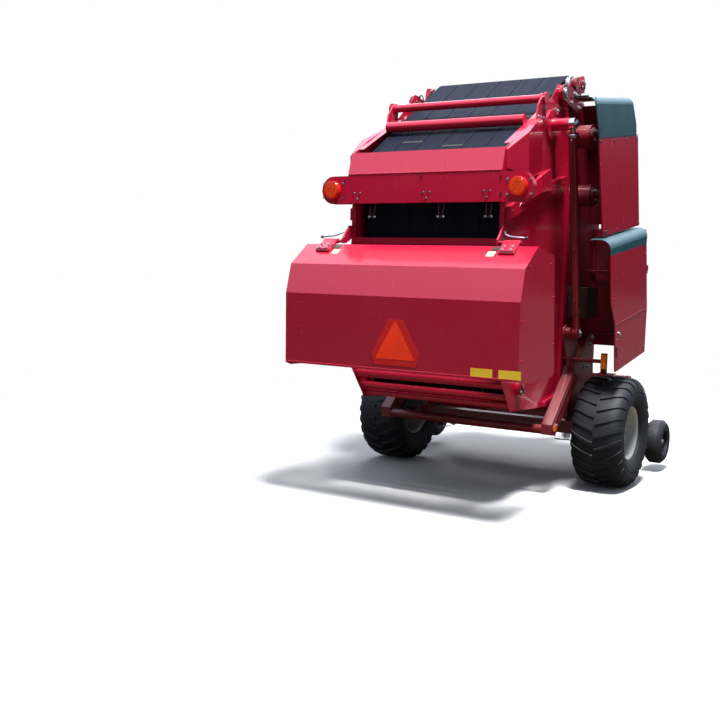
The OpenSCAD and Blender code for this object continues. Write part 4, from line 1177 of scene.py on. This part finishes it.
class BALER_OT_rams(bpy.types.Operator):
    """Adds the rams' bands and glands and their rigid oil pipes"""

    bl_idname = "baler.rams"
    bl_label = "Pipe Rams"

    def execute(self, context):
        diameter = context.scene.baler_sizes.pipe_diameter * 1000
        band = [(0, 30.3), (0, 33), (22, 33), (22, 30.3)]
        nut = [(0, 37.3), (0, 42), (3, 44), (22, 44), (25, 42), (25, 37.3)]
        path = ((120, 30), (120, 48), (180, 48), (1380, 48), (1430, 48), (1430, 36))
        for side in SIDES:
            body = "*_barrel"
            direction = (0, *RAM_LINE)
            for k, t in enumerate((150, 700, 1240)):
                side.turned("ram_band_*_%d" % k, body, band, on_ram(t), "dark_red_paint", direction)
            side.turned("ram_nut_*", body, nut, on_ram(1445), "bare_steel", direction, 12)
            side.pipe("ram_pipe_*", body, [on_ram(t, off) for t, off in path], diameter, "dark_red_paint")
            for k, t in enumerate((260, 640, 1020, 1330)):
                x, y, z = on_ram(t, 38)
                low, high = (x - 12, y - 12, z - 10), (x + 12, y + 12, z + 10)
                side.block("pipe_clip_*_%d" % k, body, low, high, "dark_red_paint")
        return {"FINISHED"}


# ---------------------------------------------------------------- covers

UPPER_REAR = {
    "left": [(1243, 1934), (1122, 2358), (1132, 2362), (1253, 1936)],
    "right": [(1243, 1934), (1059, 2608), (1069, 2610), (1253, 1936)],
}


class BALER_OT_covers(bpy.types.Operator):
    """Adds the covers' rims, creases, hems, latches and screws"""

    bl_idname = "baler.covers"
    bl_label = "Trim Covers"

    def execute(self, context):
        body = "right_upper_cover"
        for name, x0, x1, finish, width, *outline in (
            ("shell_rim_side", 1000.2, 1003, "dark_teal", 1, (1057, 2611), (929, 2883), (940, 2884), (1067, 2613)),
            ("shell_rim_top", 842, 952, "dark_teal", 1, (929.5, 2883), (926, 2892), (938, 2894), (941, 2885)),
            ("shell_seam", 1000.2, 1001.8, "dark_teal", 0.5, (1050, 2613), (1955, 2743), (1953, 2751), (1048, 2621)),
            ("shell_slot", 1000.2, 1002, "black_plastic", 0.5, (1079, 2653), (1087, 2653), (1087, 2693), (1079, 2693)),
        ):
            RIGHT.plate(name, body, x0, x1, finish, outline, width)
        spots = [(1000.2, y, 2589 + (y - 1057) * 0.143) for y in (1090, 1380, 1670, 1925)]
        RIGHT.bolts("shell_screws", body, spots, 12, "dark_teal")
        for side in SIDES:
            body = "*_lower_door"
            crease = [(1378, 1289), (2166, 1402), (2166, 1408), (1378, 1295)]
            side.plate("door_crease_*", body, 1080.1, 1082, "red_paint", crease, 0.8)
            hem = [
                (1194, 1790), (1264, 1449), (1377, 1292), (1433, 943),
                (1443, 945), (1387, 1296), (1274, 1453), (1204, 1790),
            ]
            side.plate("door_hem_*", body, 1067, 1075, "dark_red_paint", hem, 1)
            spots = on_x(1080.2, (1460, 1000), (2120, 1090), (2125, 1380), (1300, 1480), (2040, 1830))
            side.bolts("door_screws_*", body, spots, 11, "dark_red_paint")
            latch = [(1410, 1130), (1422, 1050), (1440, 1052), (1428, 1132)]
            side.plate("door_latch_*", body, 1080.2, 1088, "black_plastic", latch, 2)
            pull = [(1080, 1452, 1180), (1100, 1452, 1184), (1100, 1445, 1230), (1080, 1445, 1234)]
            side.pipe("door_pull_*", body, pull, 9, "bare_steel")
            body = "*_upper_cover"
            hem = [(1245, 1934), (2109, 2060), (2107, 2070), (1243, 1944)]
            side.plate("upper_hem_*", body, 986, 995, "dark_red_paint", hem, 1)
            side.plate("upper_rear_hem_*", body, 986, 995, "dark_red_paint", UPPER_REAR[side.name], 1)
            spots = [(1000.2, y, 1954 + (y - 1243) * 0.145) for y in (1280, 1560, 1850, 2085)]
            side.bolts("upper_screws_*", body, spots, 11, "dark_red_paint")
            latch = [(1262, 1950), (1310, 1957), (1307, 1981), (1259, 1974)]
            side.plate("upper_latch_*", body, 1000.2, 1008, "black_plastic", latch, 2)
        return {"FINISHED"}


# ---------------------------------------------------------------- pickup

REEL_Y, REEL_Z, REEL_HALF = 2590, 420, 780
TINE_PITCH = 2 * REEL_HALF / 23


class BALER_OT_pickup(bpy.types.Operator):
    """Adds the tines' coils and the pickup's bearings, bolts, pins and skids"""

    bl_idname = "baler.pickup"
    bl_label = "Fit Pickup"

    def execute(self, context):
        section = [(-13, 15.5), (-13, 21), (-9, 23), (-5, 20), (0, 23), (5, 20), (9, 23), (13, 21), (13, 15.5)]
        for k, (y, z) in enumerate(circle(REEL_Y, REEL_Z, 105, range(20, 380, 90))):
            WHOLE.repeated(
                "row", "tine_coils_%d" % k, "reel", lathe(section, 14), 22, "black_rubber",
                (TINE_PITCH - REEL_HALF, y, z), step=(TINE_PITCH, 0, 0), sharp=60,
            )
        spots = [((i + 0.5) * TINE_PITCH - REEL_HALF, z) for i in range(23) for z in (335, 600)]
        WHOLE.bolts("stripper_bolts", "pickup", on_y(2335.6, *spots), 13, facing=BACK)
        for side in SIDES:
            hub = [(0.3, 0.5), (0.3, 44), (6, 42), (9, 30), (22, 27), (22, 0.5)]
            side.turned("reel_bearing_*", "pickup", hub, (840, REEL_Y, REEL_Z), "gear_iron")
            spots = circle(REEL_Y, REEL_Z, 150, (-80, -40, 0, 40, 80, 125, 235))
            side.bolts("pickup_bolts_*", "pickup", on_x(806.2, *spots), 16)
            skid = [(2400, 208), (2590, 202), (2600, 206), (2600, 212), (2590, 208), (2400, 214)]
            side.plate("pickup_skid_*", "pickup", 798, 830, "bare_steel", skid, 1)
            pin = [(0, 0.5), (0, 22), (4, 22), (4, 10), (10, 10), (10, 0.5)]
            side.turned("gauge_pin_*", "pickup", pin, (948, 2690, 249), "bare_steel", side.inward, 20)
            side.bolts("gauge_bolts_*", "pickup", on_x(818.2, (2530, 560), (2600, 560)), 18)
            pin = [(0, 0.5), (0, 26), (4, 26), (4, 14), (9, 13), (9, 0.5)]
            side.turned("lift_pin_*", "chassis", pin, (730.3, 2230, 640), "bare_steel", steps=24)
        return {"FINISHED"}


# ---------------------------------------------------------------- drive and hitch

SHAFT_Z = 1260
JACK_X, JACK_Y = -107, 3720


class BALER_OT_drive(bpy.types.Operator):
    """Adds the gearbox's covers, the shaft's guard and splines and the side drive's rib and bolts"""

    bl_idname = "baler.drive"
    bl_label = "Fit Drive"

    def execute(self, context):
        face = (0, 3040, SHAFT_Z)
        seal = [(0.3, 23.5), (0.3, 62), (8, 62), (10, 58), (10, 34), (14, 32), (14, 23.5)]
        WHOLE.turned("shaft_seal", "chassis", seal, face, "gear_iron", AHEAD, 36)
        guard = [(14, 66), (14, 72), (60, 78), (118, 84), (118, 80), (60, 74)]
        WHOLE.turned("shaft_guard", "chassis", guard, face, "black_plastic", AHEAD, 36)
        spots = on_y(3050.2, *circle(0, SHAFT_Z, 50, range(0, 360, 60)))
        WHOLE.bolts("seal_bolts", "chassis", spots, 13, facing=AHEAD)
        lid = [(2705, 1410.3), (2985, 1410.3), (2985, 1420), (2705, 1420)]
        WHOLE.plate("gear_lid", "chassis", -115, 115, "gear_iron", lid, 3)
        spots = [(x, y, 1420.2) for x in (-98, 98) for y in (2722, 2800, 2890, 2968)]
        WHOLE.bolts("lid_bolts", "chassis", spots, 15, facing=UP)
        breather = [(0, 0.5), (0, 12), (8, 12), (10, 8), (22, 9), (25, 6), (25, 0.5)]
        WHOLE.turned("breather", "chassis", breather, (0, 2850, 1420.2), "bare_steel", UP, 20)
        spline = brick((-2, -2.2, 17.5), (85, 2.2, 20.5), 0.8)
        place = (0, 3060, SHAFT_Z)
        WHOLE.repeated("ring", "shaft_splines", "input_shaft", spline, 6, "bare_steel", place, AHEAD)
        for k, (y, z) in enumerate((
            (2960, 1328.05), (2880, 1359.57), (2600, 1320.17), (2310, 1270.92),
            (2228, 1190.15), (2310, 1109.38), (2600, 1131.05), (2880, 1158.63),
        )):
            LEFT.bolts("case_bolts_%d" % k, "chassis", [(696.5, y, z)], 14)
        rib = [(2330, 1150), (2860, 1205), (2900, 1260), (2860, 1315), (2330, 1232), (2290, 1190)]
        LEFT.plate("case_rib", "chassis", 696.3, 702, "dark_red_paint", rib, 2)
        return {"FINISHED"}


class BALER_OT_hitch(bpy.types.Operator):
    """Adds the jack's crank and clamps, the drawbar's bolts and gussets and the net box's fittings"""

    bl_idname = "baler.hitch"
    bl_label = "Fit Hitch, Jack and Net Box"

    def execute(self, context):
        x, y = JACK_X, JACK_Y
        cap = [(0.3, 0.5), (0.3, 38), (16, 38), (26, 30), (26, 0.5)]
        WHOLE.turned("jack_cap", "chassis", cap, (x, y, 1120), "dark_red_paint", UP, 24)
        crank = [(0, 1140), (0, 1172), (10, 1182), (140, 1182), (152, 1192), (152, 1262)]
        WHOLE.pipe("jack_crank", "chassis", [(x, y + reach, z) for reach, z in crank], 14, "bare_steel")
        grip = [(0, 8), (0, 14), (6, 16), (60, 16), (66, 13), (66, 8)]
        WHOLE.turned("crank_grip", "chassis", grip, (x, y + 152, 1196), "black_plastic", UP, 20)
        for k, z in enumerate((615, 660)):
            clamp = [(0, 35.4), (0, 41), (14, 41), (14, 35.4)]
            WHOLE.turned("jack_clamp_%d" % k, "chassis", clamp, (x, y, z), "bare_steel", UP, 28)
        spots = [(x, y, z) for x in (-60.2, 60.2) for y in (2340, 2420) for z in (1060, 1000)]
        WHOLE.bolts("drawbar_bolts", "chassis", spots, 26, facing=[LEFT.out] * 4 + [RIGHT.out] * 4)
        gusset = [(2310, 1090.3), (2310, 1180), (2330, 1180), (2470, 1096), (2470, 1090.3)]
        for k, x in enumerate((-40, 40)):
            WHOLE.plate("drawbar_gusset_%d" % k, "chassis", x - 5, x + 5, "red_paint", gusset)
        rail = [
            (62, 3300, 962), (80, 3300, 990), (84, 3320, 1110), (60, 3330, 1170), (0, 3330, 1180), (-30, 3330, 1170),
        ]
        WHOLE.pipe("support_rail", "chassis", rail, 14, "bare_steel")
        for side in SIDES:
            handle = [(250, 2680, 2046), (250, 2680, 2078), (330, 2680, 2078), (330, 2680, 2046)]
            side.pipe("lid_handle_*", "net_lid", handle, 12, "black_plastic")
            latch = [(2705.3, 1960), (2705.3, 2020), (2716, 2014), (2716, 1966)]
            side.plate("box_latch_*", "chassis", 380, 420, "bare_steel", latch)
            rib = [(2705.3, 1640), (2705.3, 1900), (2711, 1894), (2711, 1646)]
            side.plate("box_rib_*", "chassis", 80, 540, "red_paint", rib, 2)
        spots = [(x, 2705.2, z) for x in (-560, 0, 560) for z in (1590, 1930)]
        WHOLE.bolts("box_screws", "chassis", spots, 13, facing=AHEAD)
        return {"FINISHED"}


# ---------------------------------------------------------------- stage

# name: place, what it looks at, size and power, in metres and watts
LIGHTS = {
    "key": ((2.2, -3.3, 10.8), (0, 0, 1.2), 2.2, 3000),
    "front": ((-4.0, 7.5, 6.0), (0, 0.5, 1.2), 5.0, 330),
}
CAMERA_PLACE = (3364, -5853, 1665)
YAW, PITCH, ROLL = (math.radians(a) for a in (31.84, 5.29, 1.51))
# The lens's length in pixels over the picture's width gives its length in mm on the sensor.
LENS_PIXELS, PICTURE_PIXELS, SENSOR = 998, 720, 36


class BALER_OT_stage(bpy.types.Operator):
    """Sets the floor, the soft lamps, the backdrop and the camera"""

    bl_idname = "baler.stage"
    bl_label = "Set Stage"

    def execute(self, context):
        scene = context.scene
        self.set_floor()
        self.set_world(scene)
        for name, (place, target, size, power) in LIGHTS.items():
            data = bpy.data.lights.new(name, "AREA")
            data.size = size
            data.energy = power
            lamp = linked(name, data)
            lamp.location = place
            lamp.rotation_euler = (Vector(target) - Vector(place)).to_track_quat("-Z", "Y").to_euler()
        self.set_camera(scene)
        scene.view_settings.view_transform = "Standard"
        return {"FINISHED"}

    def set_floor(self):
        """A floor that is pale to the camera, earthy to soft light and dark in reflections."""
        floor = mesh_object("floor", [(-60, -60, 0), (60, -60, 0), (60, 60, 0), (-60, 60, 0)], [(0, 1, 2, 3)])
        w, shader = start_material("floor")
        where = w.places()["Object"]
        rays = w.node("ShaderNodeLightPath").outputs
        pale = w.mix(w.noise(where, 2.0, 4), (0.80, 0.80, 0.79, 1), (0.84, 0.84, 0.83, 1))
        ground = w.mix(rays["Is Glossy Ray"], (0.20, 0.155, 0.09, 1), (0.045, 0.036, 0.022, 1))
        w.fill(shader, Base_Color=w.mix(rays["Is Camera Ray"], ground, pale), Roughness=0.8)
        # Away from the machine it fades into the white behind it.
        distance = w.node("ShaderNodeVectorMath", {"operation": "LENGTH"}, Vector=where).outputs["Value"]
        far = w.mul(w.band(distance, 1.6, 6.5), rays["Is Camera Ray"])
        w.fill(w.nodes["Material Output"], Surface=w.mix_shaders(far, shader, w.node("ShaderNodeEmission")))
        floor.data.materials.append(MATERIALS["floor"])

    def set_world(self, scene):
        """Reflections see a dark skyline under a bright sky, the camera sees white, all else is even."""
        world = scene.world = bpy.data.worlds.new("studio")
        world.use_nodes = True
        w = Wires(world.node_tree)
        rays = w.node("ShaderNodeLightPath").outputs
        height = w.xyz(w.places()["Generated"])[2]
        sky = w.mul(w.sub(w.mul(w.band(height, 0.12, 0.5), 2.3), 0.27), rays["Is Glossy Ray"])
        soft = w.fill(w.nodes["Background"], Color=(0.78, 0.89, 1.08, 1), Strength=w.add(0.31, sky))
        white = w.node("ShaderNodeBackground", Color=(1, 1, 1, 1), Strength=1.0)
        seen = w.math("MAXIMUM", rays["Is Camera Ray"], rays["Is Transmission Ray"])
        w.fill(w.nodes["World Output"], Surface=w.mix_shaders(seen, soft, white))

    def set_camera(self, scene):
        data = bpy.data.cameras.new("camera")
        camera = scene.camera = linked("camera", data)
        level = Vector((math.cos(YAW), math.sin(YAW), 0))
        ahead = Vector((-math.sin(YAW), math.cos(YAW), 0)) * math.cos(PITCH) - Vector((0, 0, math.sin(PITCH)))
        right = level * math.cos(ROLL) + level.cross(ahead) * math.sin(ROLL)
        turn = Matrix((right, right.cross(ahead), -ahead)).transposed()
        camera.matrix_world = Matrix.Translation(at(*CAMERA_PLACE)) @ turn.to_4x4()
        data.sensor_width = SENSOR
        data.lens = SENSOR * LENS_PIXELS / PICTURE_PIXELS
        data.clip_start, data.clip_end = 0.1, 200


class BALER_PT_panel(bpy.types.Panel):
    """Buttons and settings for the baler"""

    bl_label = "Round Baler"
    bl_idname = "BALER_PT_panel"
    bl_space_type = "VIEW_3D"
    bl_region_type = "UI"
    bl_category = "Baler"

    def draw(self, context):
        layout = self.layout
        for group in (context.scene.baler_colours, context.scene.baler_sizes):
            for name in group.__annotations__:
                layout.prop(group, name)
        for operator in STEPS:
            layout.operator(operator.bl_idname)


STEPS = (
    BALER_OT_materials,
    BALER_OT_sheet_metal,
    BALER_OT_belts,
    BALER_OT_tyres,
    BALER_OT_lamps,
    BALER_OT_hood,
    BALER_OT_walls,
    BALER_OT_rams,
    BALER_OT_covers,
    BALER_OT_pickup,
    BALER_OT_drive,
    BALER_OT_hitch,
    BALER_OT_stage,
)
CLASSES = (BalerColours, BalerSizes, *STEPS, BALER_PT_panel)


def register():
    for cls in CLASSES:
        bpy.utils.register_class(cls)
    bpy.types.Scene.baler_colours = bpy.props.PointerProperty(type=BalerColours)
    bpy.types.Scene.baler_sizes = bpy.props.PointerProperty(type=BalerSizes)


def unregister():
    del bpy.types.Scene.baler_sizes
    del bpy.types.Scene.baler_colours
    for cls in reversed(CLASSES):
        bpy.utils.unregister_class(cls)


def main():
    register()
    for operator in STEPS:
        group, name = operator.bl_idname.split(".")
        getattr(getattr(bpy.ops, group), name)()


if __name__ == "__main__":
    main()
